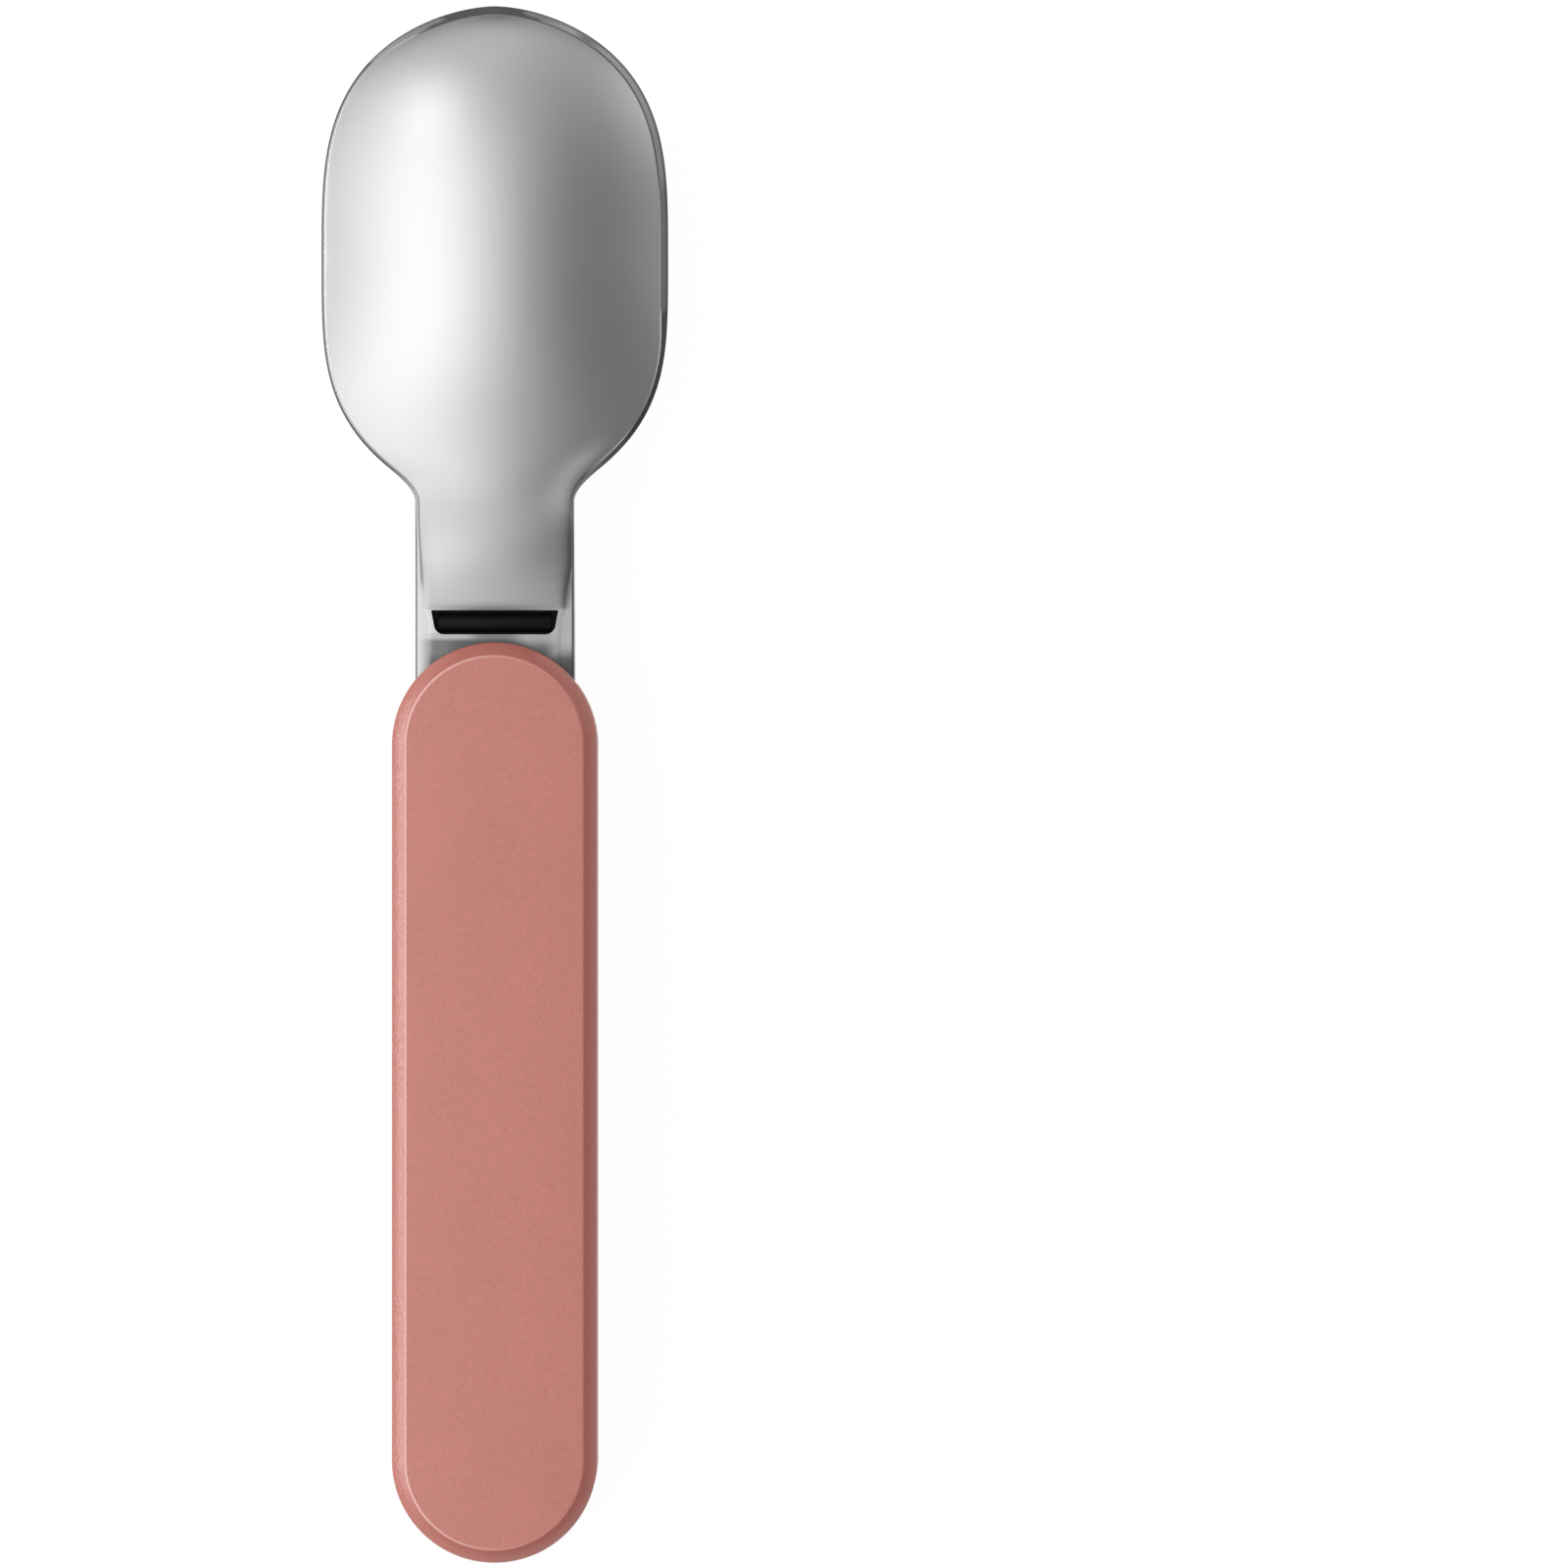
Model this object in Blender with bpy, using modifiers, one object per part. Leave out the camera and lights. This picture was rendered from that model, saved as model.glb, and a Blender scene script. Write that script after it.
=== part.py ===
"""Folding spoon: a pressed steel bowl and neck that fold flat behind a plastic handle.

The handle's back face lies on z = 0, +Y points to the bowl's tip and +Z to the handle's
outer face, which is also the side that the bowl bulges to. The bowl folds towards -Z about
a pin across the handle's round end, until its rim lies against the handle's back.
Units are metres.
"""

import math

import bmesh
import bpy

# Clearance between pieces that touch or run on each other
GAP = 0.0003

# Steel head: pressed sheet
SHEET = 0.0010
BOWL_WIDTH = 0.0343
BOWL_TIP_LENGTH = 0.0249
BOWL_NECK_LENGTH = 0.0241
OUTLINE_RUN_ON = 0.0026
BOWL_DEPTH = 0.0066
RIM_LAND = 0.0008
NECK_WIDTH = 0.0157
NECK_LENGTH = 0.02415
NECK_CROWN = 0.00025
CORNER_BLEND = 0.0025
RISE_LEAD = 0.0100
RAIL_DROP = 0.0005
WEB_START = 0.0008

# Window in the neck, just clear of the handle's end
WINDOW_WIDTH = 0.0128
WINDOW_HEIGHT = 0.0024
WINDOW_CORNER = 0.0008
WINDOW_MARGIN = 0.0008

# Hinge
PIN_RADIUS = 0.0010
EAR_RIM = 0.0012
EAR_RECESS = 0.0004
EAR_STRAIGHT = 0.0080
EAR_SETBACK = 0.00095
PIN_SEAT_DEPTH = 0.0012
BARREL_FLAT = 0.0023
INSERT_OVERHANG = 0.0025
NOSE_SINK = 0.0005

# Handle
HANDLE_LENGTH = 0.0910
FACE_WALL = 0.0020
SKIRT = 0.0010
ARM = 0.0007
FACE_CHAMFER = 0.00135
BACK_CHAMFER = 0.0004
PLATE = 0.0012
POST_RADIUS = 0.0012
BOSS_WALL = 0.0011
BOSS_LENGTH = 0.0042

# Leaf spring that presses on the barrel
LEAF = 0.0003
LEAF_WIDTH = 0.0060
LEAF_LENGTH = 0.0190
LEAF_ROOT = 0.0070
LEAF_TIP = 0.0013
LEAF_CURL = 0.00025
PEG_RADIUS = 0.0008

# Shares and counts that are no lengths
TIP_LENGTH_POWER = 3.39
TIP_WIDTH_POWER = 1.73
NECK_END_POWER = 3.79
TIP_FULLNESS = 3.2
POST_PLACE_SHARES = (0.34, 0.86)
ARC_STEPS = 20
BOWL_ROWS = 12
NECK_ROWS = 12
COLUMNS = 16

# Overrun of a cutter past the face that it cuts, and the distance that welds doubles
OVERRUN = 0.0010
WELD = 0.000001

# Levels, from the handle's back face at 0
EAR_RADIUS = PIN_RADIUS + GAP + EAR_RIM
PIN_Z = EAR_RADIUS + EAR_RECESS
WEB_LOW = PIN_Z + PIN_Z + GAP
WEB_TOP = WEB_LOW + SHEET
CEILING = WEB_TOP + GAP
HANDLE_THICKNESS = CEILING + FACE_WALL
RAIL_TOP = WEB_TOP - RAIL_DROP
FLOOR_LOW = PIN_Z + EAR_RADIUS + GAP
FLOOR_TOP = CEILING - LEAF - GAP - GAP

# Half widths, from the middle outwards
NECK_HALF = NECK_WIDTH / 2
BOWL_HALF = BOWL_WIDTH / 2
INSERT_HALF = NECK_HALF - SHEET - GAP
SLOT_HALF = NECK_HALF + GAP
PLATE_HALF = SLOT_HALF + ARM
REBATE_HALF = PLATE_HALF + GAP
HANDLE_HALF = REBATE_HALF + SKIRT
PIN_HALF = SLOT_HALF + PIN_SEAT_DEPTH - GAP

# Places along Y: the origin is the middle of the whole open spoon
BOWL_LENGTH = BOWL_TIP_LENGTH + BOWL_NECK_LENGTH
PIN_TO_TIP = NECK_LENGTH + BOWL_LENGTH
PIN_TO_TAIL = HANDLE_LENGTH - HANDLE_HALF
PIN_Y = (PIN_TO_TAIL - PIN_TO_TIP) / 2
TIP_Y = PIN_Y + PIN_TO_TIP
TAIL_Y = PIN_Y - PIN_TO_TAIL
TAIL_CENTRE_Y = TAIL_Y + HANDLE_HALF
MOUTH_Y = PIN_Y + HANDLE_HALF
BOWL_START_Y = PIN_Y + NECK_LENGTH
WIDEST_Y = BOWL_START_Y + BOWL_NECK_LENGTH
RISE_START_Y = BOWL_START_Y - RISE_LEAD
EAR_END_Y = BOWL_START_Y - EAR_SETBACK
DEEPEST_Y = BOWL_START_Y + (BOWL_LENGTH - RIM_LAND) / 2
POCKET_END_Y = PIN_Y - (EAR_END_Y - PIN_Y) - GAP - GAP
WINDOW_LOW_Y = MOUTH_Y + WINDOW_MARGIN
WINDOW_Y = WINDOW_LOW_Y + WINDOW_HEIGHT / 2
INSERT_END_Y = WINDOW_LOW_Y + WINDOW_HEIGHT + INSERT_OVERHANG
LEAF_TIP_Y = PIN_Y + LEAF
LEAF_BACK_Y = LEAF_TIP_Y - LEAF_LENGTH
LEAF_BEND_Y = LEAF_BACK_Y + LEAF_ROOT
PEG_Y = LEAF_BACK_Y + LEAF_ROOT / 2

PARTS = "folding_spoon"
TOOLS = "cutters_and_blanks"

# Local X, Y and Z of an upright outline become Y, Z and X of the part
UPRIGHT = (math.pi / 2, 0, math.pi / 2)


def clear_scene():
    for item in list(bpy.data.objects):
        bpy.data.objects.remove(item, do_unlink=True)
    for name in (PARTS, TOOLS):
        old = bpy.data.collections.get(name)
        if old:
            bpy.data.collections.remove(old)
        bpy.context.scene.collection.children.link(bpy.data.collections.new(name))


def linear(level):
    """One sRGB channel, 0 to 255, as a linear value."""
    share = level / 255
    return share / 12.92 if share <= 0.04045 else ((share + 0.055) / 1.055) ** 2.4


def material(name, srgb, roughness, metallic):
    made = bpy.data.materials.new(name)
    made.use_nodes = True
    shader = made.node_tree.nodes["Principled BSDF"]
    shader.inputs["Base Color"].default_value = (*[linear(level) for level in srgb], 1)
    shader.inputs["Roughness"].default_value = roughness
    shader.inputs["Metallic"].default_value = metallic
    return made


def ease(share):
    """Smooth step from 0 to 1."""
    held = min(max(share, 0), 1)
    return held * held * (3 - 2 * held)


def place(name, mesh, collection, matrix=None):
    placed = bpy.data.objects.new(name, mesh)
    if matrix:
        placed.matrix_world = matrix
    bpy.data.collections[collection].objects.link(placed)
    return placed


def arc(centre, radius, start, stop, steps=ARC_STEPS):
    """Points of an arc between two angles in degrees."""
    points = []
    for step in range(steps + 1):
        angle = math.radians(start + (stop - start) * step / steps)
        points.append((centre[0] + radius * math.cos(angle), centre[1] + radius * math.sin(angle)))
    return points


def stadium(half_width, low_centre, high_centre):
    """Outline with round ends about two centres on the Y axis."""
    return arc((0, high_centre), half_width, 0, 180) + arc((0, low_centre), half_width, 180, 360)


def rectangle(half_width, low, high):
    return [(half_width, low), (half_width, high), (-half_width, high), (-half_width, low)]


def prism(name, outline, low, high, upright=False, collection=TOOLS):
    """A filled outline extruded from low to high, along Z, or along X when upright."""
    curve = bpy.data.curves.new(name, "CURVE")
    curve.dimensions = "2D"
    curve.fill_mode = "BOTH"
    curve.extrude = (high - low) / 2
    spline = curve.splines.new("POLY")
    spline.points.add(len(outline) - 1)
    for point, (across, along) in zip(spline.points, outline):
        point.co = (across, along, 0, 1)
    spline.use_cyclic_u = True
    drawn = place(name, curve, collection)
    middle = (low + high) / 2
    drawn.location = (middle, 0, 0) if upright else (0, 0, middle)
    drawn.rotation_euler = UPRIGHT if upright else (0, 0, 0)
    depsgraph = bpy.context.evaluated_depsgraph_get()
    mesh = bpy.data.meshes.new_from_object(drawn.evaluated_get(depsgraph))
    matrix = drawn.matrix_world.copy()
    bpy.data.objects.remove(drawn, do_unlink=True)
    built = bmesh.new()
    built.from_mesh(mesh)
    bmesh.ops.remove_doubles(built, verts=built.verts, dist=WELD)
    bmesh.ops.dissolve_limit(built, angle_limit=math.radians(0.5), verts=built.verts, edges=built.edges)
    bmesh.ops.recalc_face_normals(built, faces=built.faces)
    built.to_mesh(mesh)
    built.free()
    return place(name, mesh, collection, matrix)


def hang(item, carrier):
    """Parent an object without moving it."""
    item.parent = carrier
    item.matrix_parent_inverse = carrier.matrix_basis.inverted()


def combine(target, other, operation):
    """Cut or join another object, which stays hidden, with a live modifier."""
    modifier = target.modifiers.new(other.name, "BOOLEAN")
    modifier.operation = operation
    modifier.object = other
    hang(other, target)
    other.hide_render = True
    other.display_type = "WIRE"


def cut(target, other):
    combine(target, other, "DIFFERENCE")


def join(target, other):
    combine(target, other, "UNION")


def finish(item, look, angle=30):
    """Give a piece its material and smooth shading between its sharp edges."""
    item.data.materials.clear()
    item.data.materials.append(look)
    item.data.shade_smooth()
    item.data.set_sharp_from_angle(angle=math.radians(angle))


def chamfer_outline(item, level, width):
    """Chamfer the edges of a Z prism that lie at one level."""
    shift = item.matrix_world.translation.z
    built = bmesh.new()
    built.from_mesh(item.data)
    edges = []
    for edge in built.edges:
        if all(abs(corner.co.z + shift - level) < WELD for corner in edge.verts):
            edges.append(edge)
    bmesh.ops.bevel(built, geom=edges, offset=width, segments=1, affect="EDGES")
    built.to_mesh(item.data)
    built.free()


def smooth_maximum(first, second, blend):
    overlap = max(blend - abs(first - second), 0) / blend
    return max(first, second) + overlap * overlap * blend / 4


def bowl_outline_rows():
    """Rows of the bowl as (y, half width): sides that draw in to the neck, and a round tip.

    The sides would meet in a point a little way down the neck, past the bowl's start.
    """
    rows = []
    for step in range(BOWL_ROWS):
        turn = math.radians(90 * step / BOWL_ROWS)
        y = WIDEST_Y - BOWL_NECK_LENGTH * math.cos(turn)
        draw_in = ((WIDEST_Y - y) / (BOWL_NECK_LENGTH + OUTLINE_RUN_ON)) ** NECK_END_POWER
        rows.append((y, smooth_maximum(BOWL_HALF * (1 - draw_in), NECK_HALF, CORNER_BLEND)))
    for step in range(BOWL_ROWS):
        turn = math.radians(90 * step / BOWL_ROWS)
        reach = BOWL_TIP_LENGTH * math.sin(turn) ** (2 / TIP_LENGTH_POWER)
        rows.append((WIDEST_Y + reach, BOWL_HALF * math.cos(turn) ** (2 / TIP_WIDTH_POWER)))
    return rows


def head_rows():
    """Rows from the hinge end of the web to just before the tip, as (y, half width)."""
    bowl = bowl_outline_rows()
    start = PIN_Y + WEB_START
    inner_half = NECK_HALF - SHEET / 2
    rows = []
    for step in range(NECK_ROWS):
        y = start + (bowl[0][0] - start) * step / NECK_ROWS
        spread = ease((y - EAR_END_Y + SHEET * 4) / (SHEET * 3))
        rows.append((y, inner_half + (NECK_HALF - inner_half) * spread))
    return rows + bowl


def crown_height(y, sheet):
    """Height of the middle line above the rim plane, of the outer face or one sheet below."""
    full = BOWL_DEPTH + SHEET - sheet
    neck = SHEET - sheet
    if y < DEEPEST_Y:
        rise = ease((y - RISE_START_Y) / (DEEPEST_Y - RISE_START_Y))
        return neck + (full - neck) * rise
    return full * (1 - ((y - DEEPEST_Y) / (TIP_Y - DEEPEST_Y)) ** TIP_FULLNESS)


def head_section(y, half):
    """One row of the head: outer points and inner points, from -X to +X."""
    in_bowl = ease((y - BOWL_START_Y) / (BOWL_NECK_LENGTH / 2))
    flat = ease((y - EAR_END_Y + EAR_STRAIGHT / 2) / (EAR_STRAIGHT / 2))
    edge_low = WEB_LOW - NECK_CROWN * (1 - flat)
    edge_top = edge_low + SHEET * (1 - in_bowl)
    land = RIM_LAND * in_bowl
    inner_half = half * (1 - land / BOWL_HALF)
    inner_y = y
    if y > WIDEST_Y:
        inner_y = y - land * (y - WIDEST_Y) / BOWL_TIP_LENGTH
    outer_middle = WEB_LOW + crown_height(y, 0)
    inner_middle = WEB_LOW + crown_height(y, SHEET)
    outer = []
    inner = []
    for column in range(COLUMNS + 1):
        across = math.sin(math.radians(-90 + 180 * column / COLUMNS))
        drop = 1 - across * across
        outer.append((half * across, y, edge_top + (outer_middle - edge_top) * drop))
        inner.append((inner_half * across, inner_y, edge_low + (inner_middle - edge_low) * drop))
    return outer, inner


def head_sheet():
    """The pressed sheet: a loft from the flat web to the round tip of the bowl."""
    built = bmesh.new()
    outer = []
    inner = []
    for y, half in head_rows():
        outer_row, inner_row = head_section(y, half)
        outer.append([built.verts.new(point) for point in outer_row])
        inner.append([built.verts.new(point) for point in inner_row])
    outer_tip = built.verts.new((0, TIP_Y, WEB_LOW))
    inner_tip = built.verts.new((0, TIP_Y - RIM_LAND, WEB_LOW))
    last = len(outer) - 1
    for row in range(last):
        for column in range(COLUMNS):
            after = column + 1
            built.faces.new((outer[row][column], outer[row][after],
                             outer[row + 1][after], outer[row + 1][column]))
            built.faces.new((inner[row][column], inner[row + 1][column],
                             inner[row + 1][after], inner[row][after]))
        built.faces.new((outer[row][0], outer[row + 1][0], inner[row + 1][0], inner[row][0]))
        built.faces.new((outer[row][-1], inner[row][-1], inner[row + 1][-1], outer[row + 1][-1]))
    for column in range(COLUMNS):
        after = column + 1
        built.faces.new((outer[last][column], outer[last][after], outer_tip))
        built.faces.new((inner[last][after], inner[last][column], inner_tip))
        built.faces.new((outer[0][column], inner[0][column], inner[0][after], outer[0][after]))
    built.faces.new((outer[last][0], outer_tip, inner_tip, inner[last][0]))
    built.faces.new((outer[last][-1], inner[last][-1], inner_tip, outer_tip))
    bmesh.ops.recalc_face_normals(built, faces=built.faces)
    mesh = bpy.data.meshes.new("spoon_head")
    built.to_mesh(mesh)
    built.free()
    return place("spoon_head", mesh, PARTS)


def ear_low(y):
    """Height of the lower edge of an ear: level at the pin, rising to meet the web."""
    straight_end = PIN_Y + EAR_STRAIGHT
    rise = ease((y - straight_end) / (EAR_END_Y - straight_end))
    low = PIN_Z - EAR_RADIUS
    return low + (WEB_LOW + SHEET / 8 - low) * rise


def ear_edge(stop, lift):
    """Points of the ear's lower edge up to a place along Y, raised by a lift."""
    start = PIN_Y + EAR_STRAIGHT
    steps = ARC_STEPS // 2
    places = [start + (stop - start) * step / steps for step in range(steps + 1)]
    return [(y, ear_low(y) + lift) for y in places]


def window_outline(half_width, half_height, radius):
    """Rounded rectangle about the window's middle."""
    x = half_width - radius
    low = WINDOW_Y - half_height + radius
    high = WINDOW_Y + half_height - radius
    steps = ARC_STEPS // 4
    return (arc((x, low), radius, -90, 0, steps) + arc((x, high), radius, 0, 90, steps)
            + arc((-x, high), radius, 90, 180, steps) + arc((-x, low), radius, 180, 270, steps))


def pin_bore(name, half_length):
    return prism(name, arc((PIN_Y, PIN_Z), PIN_RADIUS + GAP, 0, 360)[:-1],
                 -half_length, half_length, upright=True)


def spoon_head(steel):
    """Bowl, neck web with its window, and two ears bent back along the neck's sides."""
    head = head_sheet()
    shape = arc((PIN_Y, PIN_Z), EAR_RADIUS, 150, 270, ARC_STEPS // 2)
    shape += ear_edge(EAR_END_Y, 0)
    shape += [(EAR_END_Y, RAIL_TOP), (PIN_Y + WEB_START / 2, RAIL_TOP)]
    for side in (-1, 1):
        faces = sorted((side * NECK_HALF, side * (NECK_HALF - SHEET)))
        join(head, prism("ear_blank", shape, faces[0], faces[1], upright=True))
    window = window_outline(WINDOW_WIDTH / 2, WINDOW_HEIGHT / 2, WINDOW_CORNER)
    cut(head, prism("window_cutter", window, WEB_LOW - OVERRUN, WEB_TOP + OVERRUN))
    cut(head, pin_bore("ear_bore_cutter", NECK_HALF + OVERRUN))
    finish(head, steel)
    return head


def hinge_insert(black):
    """Block clipped inside the neck: a barrel round the pin and a nose behind the window."""
    corner = math.degrees(math.asin(BARREL_FLAT / EAR_RADIUS))
    step_y = PIN_Y + WEB_START + GAP
    top = WEB_LOW - NECK_CROWN - GAP
    lift = EAR_RADIUS - BARREL_FLAT
    shape = arc((PIN_Y, PIN_Z), EAR_RADIUS, 180 - corner, 180 + corner)
    shape += ear_edge(INSERT_END_Y, lift)
    shape += [(INSERT_END_Y, top), (step_y, top), (step_y, PIN_Z + BARREL_FLAT)]
    insert = prism("hinge_insert", shape, -INSERT_HALF, INSERT_HALF, upright=True, collection=PARTS)
    half_height = WINDOW_HEIGHT / 2 - GAP
    nose = arc((WINDOW_Y, WEB_TOP - NOSE_SINK - half_height), half_height, 0, 180, ARC_STEPS // 2)
    nose += [(WINDOW_Y - half_height, top - SHEET), (WINDOW_Y + half_height, top - SHEET)]
    nose_half = WINDOW_WIDTH / 2 - WINDOW_CORNER
    join(insert, prism("nose_blank", nose, -nose_half, nose_half, upright=True))
    cut(insert, pin_bore("insert_bore_cutter", INSERT_HALF + OVERRUN))
    finish(insert, black)
    return insert


def hinge_pin(steel):
    pin = prism("hinge_pin", arc((PIN_Y, PIN_Z), PIN_RADIUS, 0, 360)[:-1],
                -PIN_HALF, PIN_HALF, upright=True, collection=PARTS)
    finish(pin, steel)


def post_places():
    """Where the base's posts stand, as shares of the way from the pocket to the tail."""
    return [POCKET_END_Y + (TAIL_Y - POCKET_END_Y) * share for share in POST_PLACE_SHARES]


def handle_cover(pink):
    """Outer shell: face, chamfer and walls, open at the back and at the neck's slot."""
    cover = prism("handle_cover", stadium(HANDLE_HALF, TAIL_CENTRE_Y, PIN_Y), 0, HANDLE_THICKNESS,
                  collection=PARTS)
    chamfer_outline(cover, HANDLE_THICKNESS, FACE_CHAMFER)
    chamfer_outline(cover, 0, BACK_CHAMFER)
    cavity = [(SLOT_HALF, MOUTH_Y + OVERRUN), (-SLOT_HALF, MOUTH_Y + OVERRUN)]
    cavity += arc((0, TAIL_CENTRE_Y), SLOT_HALF, 180, 360)
    cut(cover, prism("cavity_cutter", cavity, -OVERRUN, CEILING))
    cut(cover, prism("rebate_cutter", stadium(REBATE_HALF, TAIL_CENTRE_Y, PIN_Y),
                     -OVERRUN, PLATE + GAP))
    seat = PIN_RADIUS + GAP
    cradle = arc((PIN_Y, PIN_Z), seat, 0, 180, ARC_STEPS // 2)
    cradle += [(PIN_Y - seat, -OVERRUN), (PIN_Y + seat, -OVERRUN)]
    seat_half = PIN_HALF + GAP
    cut(cover, prism("cradle_cutter", cradle, -seat_half, seat_half, upright=True))
    for y in post_places():
        bore = POST_RADIUS + GAP
        join(cover, prism("boss_blank", arc((0, y), bore + BOSS_WALL, 0, 360)[:-1],
                          CEILING - BOSS_LENGTH, CEILING + FACE_WALL / 2))
        cut(cover, prism("boss_bore_cutter", arc((0, y), bore, 0, 360)[:-1],
                         CEILING - BOSS_LENGTH - OVERRUN, CEILING))
    finish(cover, pink)


def handle_base(pink):
    """Back plate: arms beside the folded neck, a pocket floor, and posts for the bosses."""
    base = prism("handle_base", stadium(PLATE_HALF, TAIL_CENTRE_Y, PIN_Y), 0, PLATE,
                 collection=PARTS)
    cut(base, prism("pocket_cutter", rectangle(SLOT_HALF, POCKET_END_Y, MOUTH_Y + OVERRUN),
                    -OVERRUN, PLATE + OVERRUN))
    inner_half = SLOT_HALF - GAP
    join(base, prism("pocket_end_blank", rectangle(inner_half, POCKET_END_Y - PLATE, POCKET_END_Y),
                     PLATE / 2, FLOOR_TOP))
    join(base, prism("pocket_floor_blank", rectangle(inner_half, POCKET_END_Y - PLATE / 2,
                                                     LEAF_BEND_Y), FLOOR_LOW, FLOOR_TOP))
    join(base, prism("peg_blank", arc((0, PEG_Y), PEG_RADIUS, 0, 360)[:-1],
                     (FLOOR_LOW + FLOOR_TOP) / 2, CEILING - GAP))
    for y in post_places():
        join(base, prism("post_blank", arc((0, y), POST_RADIUS, 0, 360)[:-1],
                         PLATE / 2, CEILING - GAP))
    for side in (-1, 1):
        faces = sorted((side * (SLOT_HALF + ARM / 7), side * (PLATE_HALF - ARM / 7)))
        pad = [(PIN_Y - PIN_RADIUS, PLATE / 2), (PIN_Y + PIN_RADIUS, PLATE / 2),
               (PIN_Y + PIN_RADIUS, PIN_Z - PIN_RADIUS - GAP),
               (PIN_Y - PIN_RADIUS, PIN_Z - PIN_RADIUS - GAP)]
        join(base, prism("pin_pad_blank", pad, faces[0], faces[1], upright=True))
    finish(base, pink)


def leaf_spring(spring_steel):
    """Strip held over the pocket floor, whose free end presses on the barrel's flat."""
    root_z = (FLOOR_TOP + CEILING) / 2
    contact_z = PIN_Z + BARREL_FLAT + GAP + LEAF / 2
    contact_y = LEAF_TIP_Y - LEAF_TIP
    path = [(LEAF_BACK_Y, root_z)]
    steps = ARC_STEPS // 2
    for step in range(steps + 1):
        share = step / steps
        path.append((LEAF_BEND_Y + (contact_y - LEAF_BEND_Y) * share,
                     root_z + (contact_z - root_z) * ease(share)))
    path.append(((contact_y + LEAF_TIP_Y) / 2, contact_z))
    path.append((LEAF_TIP_Y, contact_z + LEAF_CURL))
    built = bmesh.new()
    near = [built.verts.new((-LEAF_WIDTH / 2, y, z)) for y, z in path]
    edges = [built.edges.new(pair) for pair in zip(near, near[1:])]
    swept = bmesh.ops.extrude_edge_only(built, edges=edges)["geom"]
    far = [item for item in swept if isinstance(item, bmesh.types.BMVert)]
    bmesh.ops.translate(built, verts=far, vec=(LEAF_WIDTH, 0, 0))
    bmesh.ops.recalc_face_normals(built, faces=built.faces)
    mesh = bpy.data.meshes.new("leaf_spring")
    built.to_mesh(mesh)
    built.free()
    leaf = place("leaf_spring", mesh, PARTS)
    solid = leaf.modifiers.new("thickness", "SOLIDIFY")
    solid.thickness = LEAF
    solid.offset = 0
    hole = arc((0, PEG_Y), PEG_RADIUS + GAP, 0, 360)[:-1]
    cut(leaf, prism("leaf_hole_cutter", hole, root_z - OVERRUN, root_z + OVERRUN))
    finish(leaf, spring_steel)


def main():
    clear_scene()
    steel = material("polished_steel", (200, 200, 202), 0.12, 1)
    pin_steel = material("pin_steel", (176, 176, 178), 0.3, 1)
    spring_steel = material("spring_steel", (150, 152, 158), 0.35, 1)
    pink = material("rose_plastic", (194, 128, 120), 0.55, 0)
    black = material("black_plastic", (18, 18, 19), 0.3, 0)
    fold_axis = place("fold_axis", None, PARTS)
    fold_axis.location = (0, PIN_Y, PIN_Z)
    for moving in (spoon_head(steel), hinge_insert(black)):
        hang(moving, fold_axis)
    hinge_pin(pin_steel)
    handle_cover(pink)
    handle_base(pink)
    leaf_spring(spring_steel)


main()
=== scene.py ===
# %% [markdown]
# # A folding spoon, open on a pale table
# The real object is a pressed steel spoon head on a pin in a rose plastic handle.
# The imported CAD model is the fixed frame: it gives every piece its place. This lesson
# builds finer pieces over it with bmesh operators, ties each to an empty for its body,
# gives each a procedural finish, and sets up one camera, one floor and one soft studio sky.

import math

import bmesh
import bpy
from mathutils import Matrix, Vector, kdtree


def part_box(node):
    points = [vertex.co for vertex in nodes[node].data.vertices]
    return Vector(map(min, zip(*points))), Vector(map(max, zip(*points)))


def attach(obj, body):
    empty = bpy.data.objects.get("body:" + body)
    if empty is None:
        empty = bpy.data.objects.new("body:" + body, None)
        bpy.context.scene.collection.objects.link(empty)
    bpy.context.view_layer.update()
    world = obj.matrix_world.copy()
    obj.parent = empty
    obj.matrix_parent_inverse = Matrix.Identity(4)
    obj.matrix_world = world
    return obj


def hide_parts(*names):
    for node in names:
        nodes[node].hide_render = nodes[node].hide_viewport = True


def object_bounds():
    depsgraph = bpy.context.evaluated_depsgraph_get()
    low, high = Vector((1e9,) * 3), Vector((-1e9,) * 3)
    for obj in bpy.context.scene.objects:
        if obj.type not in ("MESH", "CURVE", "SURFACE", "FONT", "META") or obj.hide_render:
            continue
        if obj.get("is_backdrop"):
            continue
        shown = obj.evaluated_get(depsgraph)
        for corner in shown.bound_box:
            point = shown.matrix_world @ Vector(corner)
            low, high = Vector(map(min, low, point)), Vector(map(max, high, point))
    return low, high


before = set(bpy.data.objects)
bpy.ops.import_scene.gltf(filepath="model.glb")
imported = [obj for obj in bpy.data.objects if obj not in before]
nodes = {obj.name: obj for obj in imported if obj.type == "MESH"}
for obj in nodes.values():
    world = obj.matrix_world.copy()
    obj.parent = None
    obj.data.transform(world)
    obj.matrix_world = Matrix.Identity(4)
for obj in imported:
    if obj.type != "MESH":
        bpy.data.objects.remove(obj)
cad_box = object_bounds()
for node_name in sorted(nodes):
    low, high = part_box(node_name)
    print(node_name, [round(1000 * value, 2) for value in (*low, *high)])

# %% [markdown]
# ## Working units
# A spoon is small, so the pieces are drawn in millimetres and turned into metres once,
# when a bmesh becomes an object. The axes stay those of the CAD frame: +Y to the
# bowl's tip, +Z out of the handle's outer face. Holes could be left out while a net is
# laid, but the exact Boolean cuts them cleanly at any place on a curved sheet. It can
# leave points less than a thousandth of a millimetre apart, so these are merged.

# %% Helpers that turn a bmesh into a piece of the spoon
MILLIMETRE = 0.001
SLIVER = 0.000001


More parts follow.
